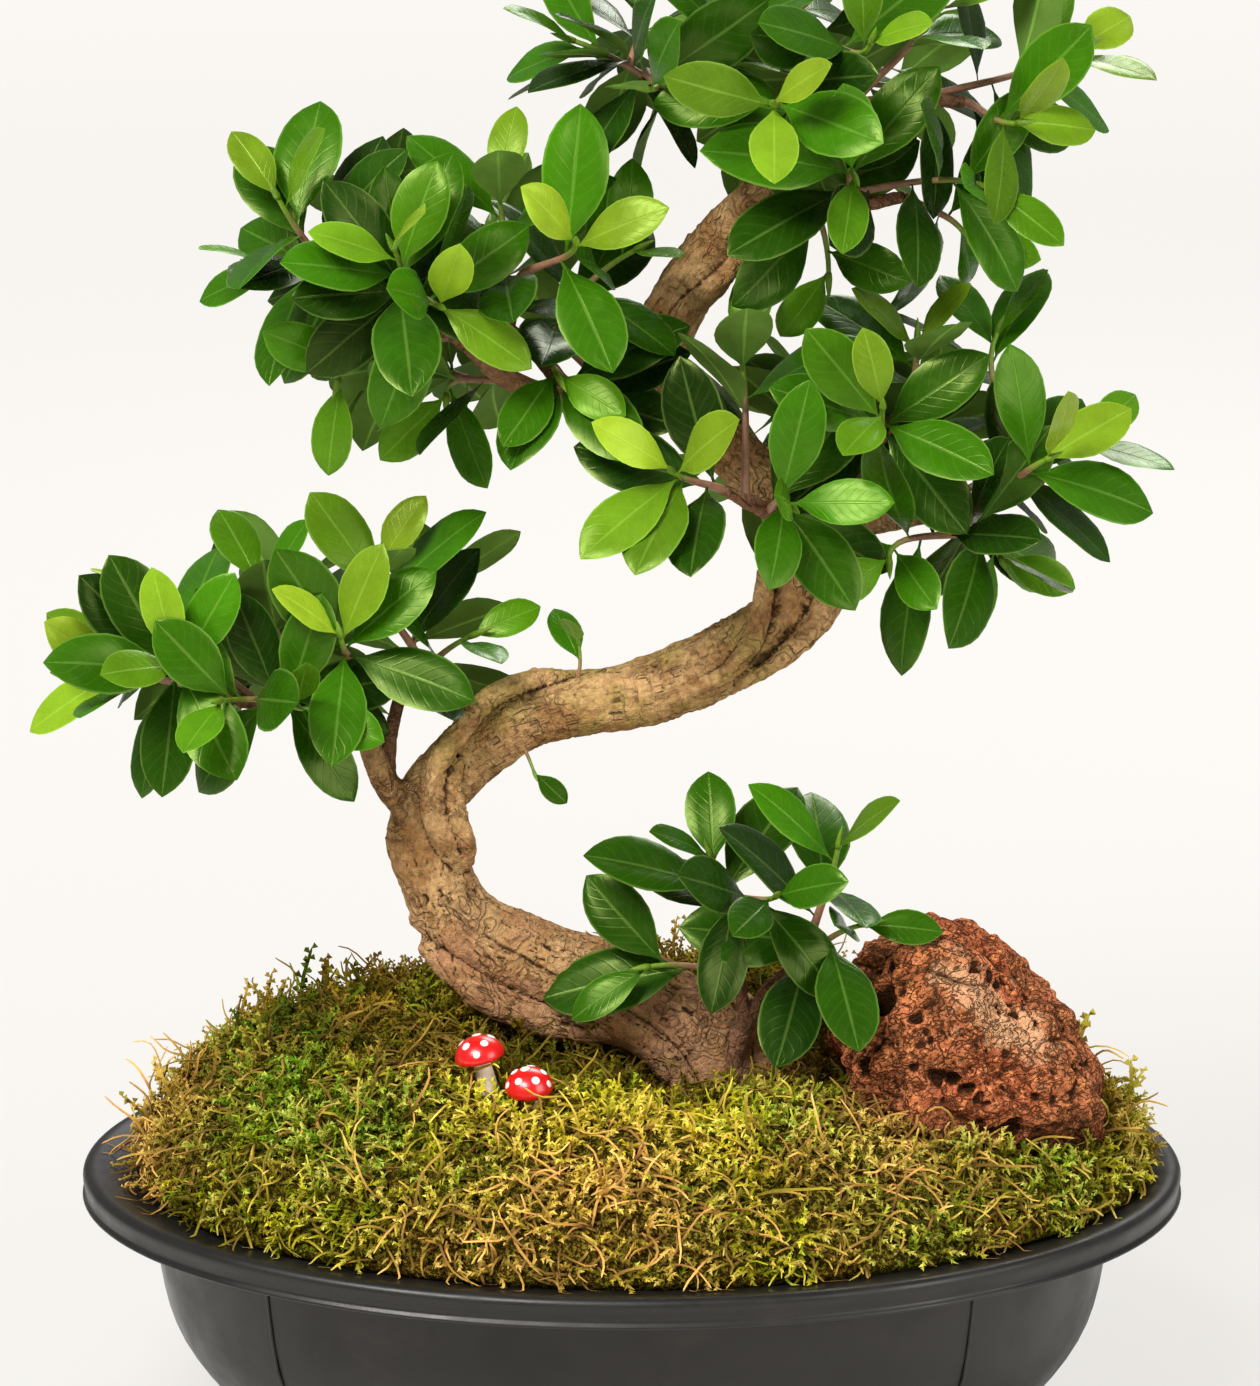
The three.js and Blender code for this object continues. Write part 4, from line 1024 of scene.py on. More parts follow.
class BONSAI_OT_toadstools(bpy.types.Operator):
    """Models the two toadstool picks, each a dotted cap on a stem"""
    bl_idname = "bonsai.toadstools"
    bl_label = "Toadstools"

    def execute(self, context):
        settings = context.scene.bonsai_toadstools
        red = paint("cap_paint", settings.cap, Roughness=0.3, Coat_Weight=0.4, Coat_Roughness=0.16)
        white = paint("dot_paint", settings.dot, Roughness=0.45)
        for number, pick in enumerate(PICKS, 1):
            r, high = pick["cap"], pick["stem"]
            top = high + CAP_LIFT
            dome = [(r * a * MM, (top + r * b) * MM) for a, b in CAP_RINGS]
            cap = grow_rings(f"toadstool_dome_{number}", dome, 40)
            apply_modifier(cap, "SUBSURF", levels=1)
            dots = self.dots(skin_of(cap.data), 70 * number, Vector((0, 0, (top + 0.2 * r) * MM)), white)
            clothe(cap, red)
            self.stand(merge([cap, *dots], f"toadstool_dome_{number}"), pick)
            finish_piece(cap, "toadstool_cap", f"toadstool_cap_{number}")
            shaft = [(wide * MM, (share * high + more) * MM) for wide, share, more in STEM_RINGS]
            stem = grow_rings(f"toadstool_shaft_{number}", shaft, 28)
            apply_modifier(stem, "SUBSURF", levels=1)
            self.stand(stem, pick)
            clothe(stem, stem_paint(settings, pick["foot"][2] * MM))
            finish_piece(stem, "toadstool_stem", f"toadstool_stem_{number}")
        return {"FINISHED"}

    def dots(self, skin, turned, inside, material):
        """Flat dots on a cap's skin, where rays from a point inside it come out."""
        made = []
        for turn, down, size in CAP_DOTS:
            way = Matrix.Rotation(math.radians(turn + turned), 3, "Z") @ Vector(
                (math.sin(math.radians(down)), 0, math.cos(math.radians(down))))
            seat, normal, *_ = skin.ray_cast(inside + way * 0.05, -way)
            bpy.ops.mesh.primitive_uv_sphere_add(segments=20, ring_count=8, radius=size * MM)
            dot = bpy.context.object
            spin = UP.rotation_difference(normal).to_matrix().to_4x4()
            dot.data.transform(Matrix.Translation(seat) @ spin @ Matrix.Diagonal((1, 1, 0.22, 1)))
            clothe(dot, material)
            made.append(dot)
        return made

    def stand(self, obj, pick):
        """Leans a shape that stands at the origin, and puts it on its pick's foot."""
        turn = UP.rotation_difference(Vector(pick["lean"]).normalized()).to_matrix().to_4x4()
        obj.data.transform(Matrix.Translation(Vector(pick["foot"]) * MM) @ turn)
        settle(obj)


# Wood


def bark(settings):
    look = Finish("bark", Roughness=0.85, Specular_IOR_Level=0.2, Specular_Tint=WARM_SHEEN)
    groove_and_shade, young = map(look.read, ("groove_and_shade", "young"))
    flow = look.node("Attribute", attribute_name="flow").outputs["Vector"]
    long_flow, short_flow = look.moved(flow, (0.35, 1, 1)), look.moved(flow, (1.6, 0.5, 0.5))
    high = look.part(look.here, 2)
    bend = look.times(look.between(high, 0.27, 0.31), look.between(high, 0.37, 0.33))
    damp = look.times(bend, look.between(look.grain(34), 0.4, 0.6, 0, 0.8))
    foot = look.times(look.between(high, 0.25, 0.2), look.between(look.grain(40), 0.4, 0.6))
    swirls = look.math("SINE", look.times(look.grain(58, 2), 72))
    lines = look.times(look.between(swirls, 0.5, 1), look.between(look.grain(30, 2), 0.47, 0.6))
    streaks = look.between(look.grain(420, 4, 0.65, long_flow), 0.5, 0.68)
    split = look.times(look.worms(130, 0.022, long_flow), look.between(look.grain(70, 2), 0.5, 0.6))
    scales = look.times(look.worms(190, 0.03, short_flow), look.between(look.grain(38, 3, 0.6), 0.44, 0.58))
    flakes = look.between(look.grain(360, 3, 0.7), 0.6, 0.7)
    # Dark cracks, seams and split bark, with painted shade in the hollows
    dark = look.most(look.between(groove_and_shade, 0.12, 1), look.times(split, 0.85),
                     look.times(look.most(flakes, scales), 0.4))
    colour = look.coats(
        settings.tan,
        (look.between(look.grain(46, 5, 0.6), 0.4, 0.6), settings.pale),
        (damp, settings.olive),
        (look.times(foot, 0.7), settings.foot),
        (look.times(lines, 0.5), settings.tan * 0.4),
        (look.times(streaks, 0.42), settings.tan * 0.4),
        (young, look.blend(streaks, settings.twig, settings.twig * 0.5)),
        # Painted highlight: raised bark is paler
        (look.between(groove_and_shade, -0.1, -0.8, 0, 0.6), settings.pale * 1.25),
        (dark, settings.crack_and_shade),
    )
    sunk = look.times(look.most(split, look.times(scales, 0.7)), 0.9)
    height = look.math("MULTIPLY_ADD", lines, -0.8, look.math("SUBTRACT", look.relief(300, 1200), sunk))
    return look.done(look.mottled(colour, 420, 0.64, 1.3), height, 0.9, 0.0013)


def flow_along(points, lines):
    """For each point: way along the nearest line, offsets round it, and the line's radius there."""
    samples = np.concatenate(lines)
    ways = np.concatenate([np.concatenate([[0], np.cumsum(np.linalg.norm(np.diff(l[:, :3], axis=0), axis=1))])
                           + 0.31 * k for k, l in enumerate(lines)])
    tangents = unit(np.concatenate([np.gradient(l[:, :3], axis=0) for l in lines]))
    finder = finder_of(samples[:, :3])
    nearest = np.array([finder.find(p)[1] for p in points])
    along, aside = tangents[nearest], np.array([0.0, 1, 0.02])
    side = unit(aside - along * (along @ aside)[:, None])
    out = points - samples[nearest, :3]
    return ways[nearest], np.sum(out * side, 1), np.sum(out * np.cross(side, along), 1), samples[nearest, 3]


def seams_between(points, lines):
    """1 where two fused strands meet, falling to 0 a little way off."""
    gaps = []
    for part in np.array_split(points, 60):
        nearest = np.sort([np.min(np.linalg.norm(part[:, None] - line[None, :, :3], axis=2) - line[:, 3], 1)
                           for line in lines], 0)
        gaps.append(nearest[1] - nearest[0])
    return smooth_step(SEAM_WIDTH * MM, 0, np.concatenate(gaps))


class BONSAI_OT_wood(bpy.types.Operator):
    """Models the trunk with its fused strands, root flare, branches and bark"""
    bl_idname = "bonsai.wood"
    bl_label = "Trunk and branches"

    def execute(self, context):
        settings = context.scene.bonsai_trunk
        lines = wood_lines()
        wood = tubes_of(lines, "wood", 5)
        apply_modifier(wood, "REMESH", mode="VOXEL", voxel_size=settings.voxel, use_smooth_shade=True)
        soften(wood, 4)
        points, normals = points_of(wood.data), normals_of(wood.data)
        first_branch = len(STRANDS) + 1
        way, across, beside, radius = flow_along(points, lines[:1] + lines[first_branch:])
        stout = smooth_step(3 * MM, 13 * MM, radius)
        warp = noise_at(points, 34 * MM, 2, 2)
        muscles = np.abs(np.sin(2 * np.arctan2(beside, across) + 38 * way + 1.6 * warp)) ** 0.6 - 0.75
        lumps = noise_at(points, 26 * MM, 4) + 0.5 * np.abs(noise_at(points, 11 * MM, 5))
        swirl = np.sin(26 * noise_at(points, 19 * MM, 6, 2))
        plates = np.abs(noise_at(np.column_stack([way * 0.35, across, beside]), 10 * MM, 9, 2))
        low = smooth_step(0.27, 0.2, points[:, 2])
        cracks = smooth_step(0.05, 0.0, plates) * (0.35 + 0.65 * low)
        rise = stout * (0.8 * muscles + 1.3 * lumps + 0.2 * swirl - 1.3 * cracks)
        rise += 0.3 * noise_at(points, 3.6 * MM, 12, 2)
        seams = seams_between(points, [line_through(TRUNK, 400), *lines[1:first_branch]])
        seams *= smooth_step(0, 0.25, hollowness(wood, 40, 1 * MM))
        set_points(wood.data, points + normals * (rise - SEAM_DEPTH * seams)[:, None] * MM)
        # Painted shade and highlight: hollows, cracks and seams are kept for the bark to darken, raised bark for it
        # to lighten
        hollow = 0.5 * hollowness(wood, 8, 0.35 * MM) + 0.5 * hollowness(wood, 60, 1.1 * MM)
        groove_and_shade = hollow * (0.4 + 0.6 * stout) + 0.5 * cracks * stout
        add_values(wood.data, "groove_and_shade", np.clip(np.maximum(groove_and_shade, seams), -1, 1))
        snug = smooth_step(2, 1.4, np.hypot(across, beside) / radius)
        add_values(wood.data, "young", smooth_step(6.5 * MM, 3.5 * MM, radius) * snug)
        add_values(wood.data, "flow", np.column_stack([way, across, beside]), "FLOAT_VECTOR", "vector")
        apply_modifier(wood, "DECIMATE", ratio=0.6)
        settle(wood)
        clothe(wood, bark(settings))
        finish_piece(wood, "bark", "trunk")
        return {"FINISHED"}


# Moss


def moss_fibre(settings):
    """Strands whose colour runs from olive to fresh green by one value, and to dry by another, with painted shade
    towards their roots and a painted highlight at their tips.
    """
    look = Finish("moss_fibre", Roughness=0.75, Specular_IOR_Level=0.15, Specular_Tint=WARM_SHEEN)
    tone, dry, lush, tip = map(look.read, ("tone", "dry", "lush", "tip"))
    colour = look.coats(
        settings.olive,
        (tone, settings.green),
        (look.between(tone, 0.55, 1), settings.fresh),
        (lush, settings.lush),
        (dry, settings.dry),
        # Painted highlight: lit tips fade to a pale colour
        (look.between(tip, 0.4, 1, 0, 0.2), settings.tips),
    )
    # Painted shade and light: darker near the roots and in shaded places, brighter towards the tips
    colour = look.shaded(colour, look.between(tip, 0, 0.9, 0.34, 1.5))
    return look.done(look.mottled(colour, 500, 0.8, 1.2), look.relief(1500, 4000), 0.3, 0.0005)


def moss_ground(settings):
    """The cushion between the strands: green tips over dark gaps, whose dark colour is painted shade."""
    look = Finish("moss_ground", Roughness=0.95, Specular_IOR_Level=0.05, Specular_Tint=WARM_SHEEN)
    tone, dry, lush = map(look.read, ("tone", "dry", "lush"))
    green = look.coats(settings.olive, (tone, settings.green), (lush, settings.lush),
                       (look.times(dry, 0.5), settings.dry))
    tips = look.between(look.grain(560, 4, 0.75), 0.47, 0.62)
    return look.done(look.blend(tips, settings.gap_shade, green), look.relief(420, 1100), 1.0, 0.004)


def patch_value(places, patches):
    """Sum of soft round patches, laid out by x and y, at places."""
    total = np.zeros(len(places))
    for x, y, spread, strength in patches:
        away = ((places[:, 0] - x * MM) ** 2 + (places[:, 1] - y * MM) ** 2) / (2 * (spread * MM) ** 2)
        total += strength * np.exp(-away)
    return total


def moss_looks(seats, draw):
    """How fresh, how dry and how green the moss is at each place."""
    drift = noise_at(seats, 30 * MM, 31, 3)
    fresh = 0.34 + 0.5 * patch_value(seats, BRIGHT_PATCHES) + 0.5 * drift + draw.normal(0, 0.16, len(seats))
    fresh -= 0.3 * smooth_step(-0.06, 0.01, seats[:, 1])
    dry = 0.6 * patch_value(seats, DRY_PATCHES) - 0.3 * drift + draw.normal(0, 0.2, len(seats)) - 0.12
    lush = patch_value(seats, LUSH_PATCHES) + 0.5 * noise_at(seats, 14 * MM, 37, 2)
    lush += draw.normal(0, 0.15, len(seats)) - 0.12
    return {"tone": np.clip(fresh, 0, 1), "dry": np.clip(dry, 0, 1), "lush": np.clip(lush, 0, 0.9)}


def moss_roots(skin, count, draw):
    """Places on the cushion's open top, with its normal there. A slope gets as many for its area as level ground."""
    low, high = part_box("moss")
    pick_x, pick_y, _ = PICKS[0]["foot"]
    seats, normals = [], []
    while len(seats) < count:
        x = draw.uniform(low.x, high.x)
        y = draw.uniform(low.y, high.y)
        seat, normal, *_ = skin.ray_cast(Vector((x, y, 0.3)), -UP)
        if seat is None or normal.z < STEEPEST_SEAT:
            continue
        by_pick = math.hypot(x / MM - pick_x, y / MM - pick_y + 5) < PICK_CLEARING
        if by_pick or draw.random() > MOSS_DENSITY / normal.z * (1 if y < 0.03 else 0.75):
            continue
        seats.append(seat)
        normals.append(normal)
    return np.array(seats), np.array(normals)


def sprig_blank(leaflets, root, tip, reach, lean):
    """A sprig, one long along Z: a tapering stem with leaflets all round, pointed or club-shaped."""
    parts = [grow_rings("sprig", [(0, 0), (0.045, 0.01), (0.04, 0.5), (0.03, 0.9), (0, 1)], 3)]
    for step in range(leaflets):
        share = 0.2 + 0.75 * step / (leaflets - 1)
        long = reach * (1 - 0.45 * share)
        deselect()
        bpy.ops.mesh.primitive_cone_add(vertices=3, radius1=root, radius2=tip, depth=long, location=(0, 0, 0))
        leaflet = bpy.context.object
        turn = Matrix.Rotation(step * 2.4, 4, "Z") @ Matrix.Rotation(math.radians(lean), 4, "Y")
        leaflet.data.transform(Matrix.Translation((0, 0, share)) @ turn @ Matrix.Translation((0, 0, long / 2)))
        parts.append(leaflet)
    return Blank(merge(parts, "sprig"))


def strand_blank(name, rings):
    """A plain strand with three sides and a blunt tip, one long along Z and one wide."""
    shares = [0.01] + [0.96 * k / (rings - 1) for k in range(1, rings)]
    return Blank(grow_rings(name, [(0, 0), *[(1 - 0.45 * share**3, share) for share in shares], (0, 1)], 3))


def lie_on_flange(points):
    """Lifts points that have sunk in the bowl's flange to just over it, and gives each the oval it lies on."""
    depths = np.full(points.shape[:-1], 150.0)
    for _ in range(8):
        depths = np.hypot(points[..., 0] / MM * depths / (depths + POT_WIDENING), points[..., 1] / MM)
    flange = np.interp(depths, FLANGE_DEPTHS, FLANGE_HEIGHTS, left=0) + 0.7
    points[..., 2] = np.maximum(points[..., 2], flange * MM)
    return depths


def grow_strands(heap, blank, seats, ways, turns, lengths, widths, draw, sway=0.0, **values):
    """Carries a blank onto one arc for each seat. It starts one way and curls by a turn, mostly downwards."""
    curls = square_to(draw.normal(size=seats.shape) - (0, 0, 0.9), ways)
    side = np.cross(ways, curls)
    seats, ways, curls, swings = (array[:, None, :] for array in (seats, ways, curls, side))
    lengths, turns = lengths[:, None, None], turns[:, None, None]
    phase = draw.uniform(0, 6.3, (len(seats), 1, 1))

    def path(shares):
        t = shares[None, :, None]
        swing = sway * t * np.sin(8 * t + phase)
        arc = ways * np.sin(turns * t) / turns + curls * (1 - np.cos(turns * t)) / turns
        return seats + lengths * (arc + swings * swing)

    points = carry(blank, path, side, widths[:, None, None])
    held = np.all(lie_on_flange(points) < MOSS_REACH, 1)
    points, values = points[held], {key: value[held] for key, value in values.items()}
    roots = points[:, 0]
    # Painted shade: strands rooted in the cushion's hollows and in the painted-shade patches are darker, and each
    # strand is darker towards its root
    shade = 0.4 * smooth_step(0.05, -0.4, noise_at(roots, 30 * MM, 21))
    shade += 0.4 * smooth_step(0, -0.35, noise_at(roots, 13 * MM, 23, 2))
    shade = np.clip(shade + patch_value(roots, PAINTED_SHADE_PATCHES), 0, 0.92)
    heap.add(blank, points, tip=np.clip(blank.points[:, 2], 0, 1) * (1 - shade)[:, None], **values)


class BONSAI_OT_moss(bpy.types.Operator):
    """Models the moss: a lumpy cushion with sprigs, strands and dry strings on it"""
    bl_idname = "bonsai.moss"
    bl_label = "Moss"

    def execute(self, context):
        settings = context.scene.bonsai_moss
        draw = np.random.default_rng(MOSS_SEED)
        skin = self.cushion(settings, draw)
        fibre = moss_fibre(settings)
        self.grow_sprigs(settings, skin, draw, fibre)
        self.grow_plain(settings, skin, draw, fibre)
        self.grow_dry(settings, skin, draw, fibre)
        return {"FINISHED"}

    def cushion(self, settings, draw):
        """Roughens the solid's cushion, and gives its skin."""
        cushion = twin(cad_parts["moss"])
        cushion.data.transform(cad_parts["moss"].matrix_world)
        cushion.parent = None
        cushion.name = "moss_cushion"
        for key in list(cushion.keys()):
            del cushion[key]
        edit_all(cushion)
        bpy.ops.mesh.remove_doubles(threshold=1e-6)
        leave_edit()
        apply_modifier(cushion, "REMESH", mode="VOXEL", voxel_size=2.6 * MM, use_smooth_shade=True)
        soften(cushion, 6)
        apply_modifier(cushion, "DECIMATE", ratio=0.5)
        points, normals = points_of(cushion.data), normals_of(cushion.data)
        open_top = smooth_step(0.1, 0.5, normals[:, 2])
        lumps = 3.4 * noise_at(points, 30 * MM, 21) + 1.5 * np.abs(noise_at(points, 8 * MM, 22, 2)) - 4
        lumps += 2.4 * noise_at(points, 13 * MM, 23, 2)
        set_points(cushion.data, points + normals * (open_top * lumps)[:, None] * MM)
        # Painted shade: under the painted-shade patches the cushion's tone, dry and lush values fall, which dulls it
        # to olive
        dark = 1 - np.clip(patch_value(points, PAINTED_SHADE_PATCHES), 0, 1)
        for key, values in moss_looks(points, draw).items():
            add_values(cushion.data, key, values * dark)
        settle(cushion)
        clothe(cushion, moss_ground(settings))
        finish_piece(cushion, "moss", "moss")
        return skin_of(cushion.data)

    def grow_sprigs(self, settings, skin, draw, fibre):
        feathery = sprig_blank(11, 0.06, 0, 0.27, 48)
        coral = sprig_blank(10, 0, 0.06, 0.17, 56)
        seats, normals = moss_roots(skin, settings.sprigs, draw)
        ways = unit(normals * 0.8 + unit(draw.normal(size=seats.shape)) * 0.8 + (0, 0, 0.35))
        looks = moss_looks(seats, draw)
        looks["dry"] *= 0.6
        lengths = draw.uniform(8, 14, len(seats)) * MM
        turns = draw.uniform(0.3, 1.5, len(seats))
        # Where the camera sees the cushion's edge against the light, upright sprigs stand out
        slope = normals[:, 1] / normals[:, 2]
        edge = (slope > EDGE_SLOPES[0]) & (slope < EDGE_SLOPES[1]) & (seats[:, 1] > -0.03)
        spire = edge & (draw.random(len(seats)) < 0.3)
        ways[spire] = unit(ways[spire] * 0.4 + (0, 0, 1))
        lengths[spire] *= draw.uniform(1.3, 2.4, spire.sum())
        knobbly = spire | (looks["tone"] < 0.3)
        half = seats[:, 0] < np.median(seats[:, 0])
        for name, side in (("moss_sprigs_left", half), ("moss_sprigs_right", ~half)):
            heap = Heap(*looks, "tip")
            for blank, kind in ((feathery, ~knobbly), (coral, knobbly)):
                some = side & kind
                grow_strands(heap, blank, seats[some] - normals[some] * MM, ways[some], turns[some], lengths[some],
                             lengths[some], draw, **{key: values[some] for key, values in looks.items()})
            heap.finish(name, "moss", "moss", fibre)

    def grow_plain(self, settings, skin, draw, fibre):
        blank = strand_blank("strand", 4)
        tufts, tuft_normals = moss_roots(skin, settings.strands // TUFT, draw)
        seats, normals = np.repeat(tufts, TUFT, 0), np.repeat(tuft_normals, TUFT, 0)
        seats = seats + draw.normal(0, 1.2 * MM, seats.shape)
        around = unit(draw.normal(size=seats.shape))
        ways = unit(normals * draw.uniform(0.2, 1, (len(seats), 1)) + around * 0.9 + (0, 0, 0.25))
        turns, lengths, widths = (draw.uniform(*ends, len(seats)) for ends in ((0.5, 3), (7, 14), (0.42, 0.7)))
        looks = moss_looks(seats, draw)
        heap = Heap(*looks, "tip")
        grow_strands(heap, blank, seats, ways, turns, lengths * MM, widths * MM, draw, **looks)
        heap.finish("moss_strands", "moss", "moss", fibre)

    def grow_dry(self, settings, skin, draw, fibre):
        blank = strand_blank("string", 8)
        seats, normals = moss_roots(skin, settings.strings, draw)
        around = square_to(unit(draw.normal(size=seats.shape)), normals)
        ways = unit(normals * draw.uniform(0.1, 0.5, (len(seats), 1)) + around)
        looks = moss_looks(seats, draw)
        looks["dry"] = np.clip(0.3 + looks["dry"], 0, 1)
        looks["lush"] *= 0.4
        turns, lengths, widths = (draw.uniform(*ends, len(seats)) for ends in ((0.4, 2.6), (12, 34), (0.42, 0.72)))
        heap = Heap(*looks, "tip")
        grow_strands(heap, blank, seats + normals * 2 * MM, ways, turns, lengths * MM, widths * MM, draw, sway=0.06,
                     **looks)
        heap.finish("moss_strings", "moss", "moss", fibre)


# Leaves


def seeded_draws(seed):
    state = seed
    while True:
        state = (state * 16807) % 2147483647
        yield state / 2147483647


def bezier(points, share):
    a, b, c, d = points
    rest = 1 - share
    return a * rest**3 + b * 3 * rest**2 * share + c * 3 * rest * share**2 + d * share**3


def bezier_way(points, share):
    low, high = max(share - 1e-4, 0), min(share + 1e-4, 1)
    return (bezier(points, high) - bezier(points, low)).normalized()


def stem_point(points, share):
    """A point on a stem as the solids have it, in straight steps along its curve."""
    low = min(int(share * STEM_STEPS), STEM_STEPS - 1)
    first, second = bezier(points, low / STEM_STEPS), bezier(points, (low + 1) / STEM_STEPS)
    return first.lerp(second, share * STEM_STEPS - low)


def make_shoots():
    """The leafy shoots. Each leaves the nearest free point of its mass's branches, or forks from the first."""
    seats = {name: points[1:] for name, (points, *_) in BRANCHES.items()} | TRUNK_SEATS
    made, first_of, taken = [], {}, set()
    rows = [(mass, *row) for mass, shoots in SHOOTS.items() for row in shoots]
    for index, (mass, number, *places, leaves, size) in enumerate(rows):
        name = f"leafy_spray_{mass}_{number}"
        end, pointing = Vector(places[:3]), Vector(places[3:]).normalized()
        if name in first_of:
            start = stem_point(first_of[name]["points"], FORK_SHARE)
        else:
            free = [((Vector(point) - end).length, branch, k) for branch in MASSES[mass]
                    for k, point in enumerate(seats[branch]) if (branch, k) not in taken]
            _, branch, k = min(seat for seat in free if seat[0] >= SHORTEST_SHOOT)
            taken.add((branch, k))
            start = Vector(seats[branch][k])
        reach = (end - start).length
        leaving = (end - start) / reach
        points = (start, start + leaving * reach * 0.35, end - pointing * reach * 0.4, end)
        made.append({"name": name, "mass": mass, "index": index, "leaves": leaves, "size": size, "points": points,
                     "reach": reach, "kept": []})
        first_of.setdefault(name, made[-1])
    return made


def across_for(way):
    return Vector((0, 1, 0)) if abs(way.y) < 0.8 else Vector((1, 0, 0))


def leaf_at(shoot, i, turn, lift):
    """A leaf's root, direction, upper side, size and tip: 0 is the youngest, at the shoot's tip."""
    draw = seeded_draws(1009 * (shoot["index"] + 1) + 31 * (i + 1))
    next(draw)
    older = i / max(1, shoot["leaves"] - 1)
    share = max(0.97 - min(0.8, LEAFY_STRETCH / shoot["reach"]) * older, 0.12)
    along = bezier_way(shoot["points"], share)
    across = across_for(along)
    side = (across - along * across.dot(along)).normalized()
    other = side.cross(along)
    angle = GOLDEN_TURN * i + 2.4 * shoot["index"] + 0.5 * (next(draw) - 0.5)
    spread = math.radians(34 + 54 * older**0.6 + 10 * (next(draw) - 0.5))
    radial = side * math.cos(angle) + other * math.sin(angle)
    direction = (along * math.cos(spread) + radial * math.sin(spread) + UP * 0.12).normalized()
    outward = Vector((0, -1 if shoot["points"][3].y < FRONT_LIMIT else 1, 0))
    above = along * 0.7 + UP * 0.6 + outward * 0.6
    above = (above - direction * above.dot(direction)).normalized()
    beside = above.cross(direction)
    turning = Matrix.Rotation(math.radians(turn), 3, above)
    direction, beside = turning @ direction, turning @ beside
    lifting = Matrix.Rotation(math.radians(-lift), 3, beside)
    direction, above = lifting @ direction, lifting @ above
    grown_up = 0.74 + 0.36 * min(1, 2.4 * older)
    long = LEAF_LENGTH * shoot["size"] * grown_up * (0.9 + 0.2 * next(draw))
    wide = long * (0.42 + 0.08 * next(draw))
    arch = long * (0.06 + 0.12 * next(draw))
    root = stem_point(shoot["points"], share)
    return {"root": root, "direction": direction, "above": above, "beside": beside, "long": long, "wide": wide,
            "arch": arch, "older": older, "tone": next(draw), "twist": next(draw),
            "tip": root + direction * long - above * arch}


def leaf_that(suits, shoot, i):
    """The first of a leaf's turned and lifted places that suits, if any does."""
    places = (leaf_at(shoot, i, turn, lift) for lift in LEAF_LIFTS for turn in LEAF_TURNS)
    return next(filter(suits, places), None)


def is_in_solids(i):
    """Whether the solids' rule has this leaf of a shoot. The others are for the scene to add."""
    return i < SOLID_LEAVES and i % 3 != 2


def plain_blade(leaf, grow):
    """A leaf as a few flat faces, for testing where leaves meet: its middle and its surface."""
    rows = [(0.12, 0.1), (0.3, 0.8), (0.55, 1), (0.8, 0.75), (1, 0)]
    points = []
    for share, wide in rows:
        middle = leaf["root"] + leaf["direction"] * leaf["long"] * share - leaf["above"] * leaf["arch"] * share**2
        half = leaf["beside"] * (leaf["wide"] / 2 * wide + grow)
        points += [middle + half, middle - half]
    faces = [(2 * k, 2 * k + 1, 2 * k + 3, 2 * k + 2) for k in range(len(rows) - 1)]
    return sum(points, Vector()) / len(points), BVHTree.FromPolygons(points, faces)


class Crowd:
    """The leaves that are already placed, so that a new one can be kept clear of them and of the wood."""

    def __init__(self, wood):
        self.placed = []
        self.wood = skin_of(wood.data, MM)

    def add(self, shoot, leaf):
        shoot["kept"].append(leaf)
        middle, blade = plain_blade(leaf, 0)
        self.placed.append((middle, leaf["long"], blade))

    def meets_wood(self, leaf):
        return bool(plain_blade(leaf, 0)[1].overlap(self.wood))

    def is_clear(self, leaf):
        middle, blade = plain_blade(leaf, LEAF_CLEARANCE)
        return not blade.overlap(self.wood) and not any(
            (other - middle).length < 0.6 * (far + leaf["long"]) and blade.overlap(theirs)
            for other, far, theirs in self.placed)


def leaf_as_built(shoot, i, tips):
    """The leaf as it stands in the solids, found by where its tip is. None if it was left out there."""
    return leaf_that(lambda leaf: tips.find(leaf["tip"] * MM)[2] < TIP_MATCH, shoot, i)


def leaf_that_fits(shoot, i, crowd):
    """A leaf that is clear of the others and stays inside the box of its spray's solid."""
    low, high = (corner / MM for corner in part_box(shoot["name"]))

    def fits(leaf):
        tip = leaf["tip"]
        inside = all(low[k] - 1 <= tip[k] <= high[k] + 1 for k in range(3))
        return inside and tip.z + VIEW_SLOPE * tip.y > EXTRA_FLOORS[shoot["mass"]] and crowd.is_clear(leaf)

    return leaf_that(fits, shoot, i)


def leaf_blank():
    """One leaf, modelled from a grid: an upper and an under side that meet at the margin."""
    rows = len(LEAF_ROWS) - 1
    deselect()
    bpy.ops.mesh.primitive_grid_add(x_subdivisions=rows, y_subdivisions=LEAF_COLUMNS, size=2)
    leaf = take_active("leaf")
    edit_all(leaf)
    bpy.ops.mesh.duplicate()
    bpy.ops.transform.translate(value=(0, 0, -1))
    bpy.ops.mesh.flip_normals()
    leave_edit()
    mesh = leaf.data
    for vertex in mesh.vertices:
        if max(abs(vertex.co.x), abs(vertex.co.y)) > 0.999:
            vertex.co.z = 0
        elif vertex.co.z > -0.5:
            vertex.co.z = 1
    for face in mesh.polygons:
        face.material_index = 0 if face.normal.z > 0 else 1
    for loop, uv in zip(mesh.loops, mesh.uv_layers[0].data):
        uv.uv.x = LEAF_ROWS[round((mesh.vertices[loop.vertex_index].co.x + 1) / 2 * rows)][0]
    edit_all(leaf)
    bpy.ops.mesh.remove_doubles(threshold=1e-4)
    leave_edit()
    return Blank(leaf)


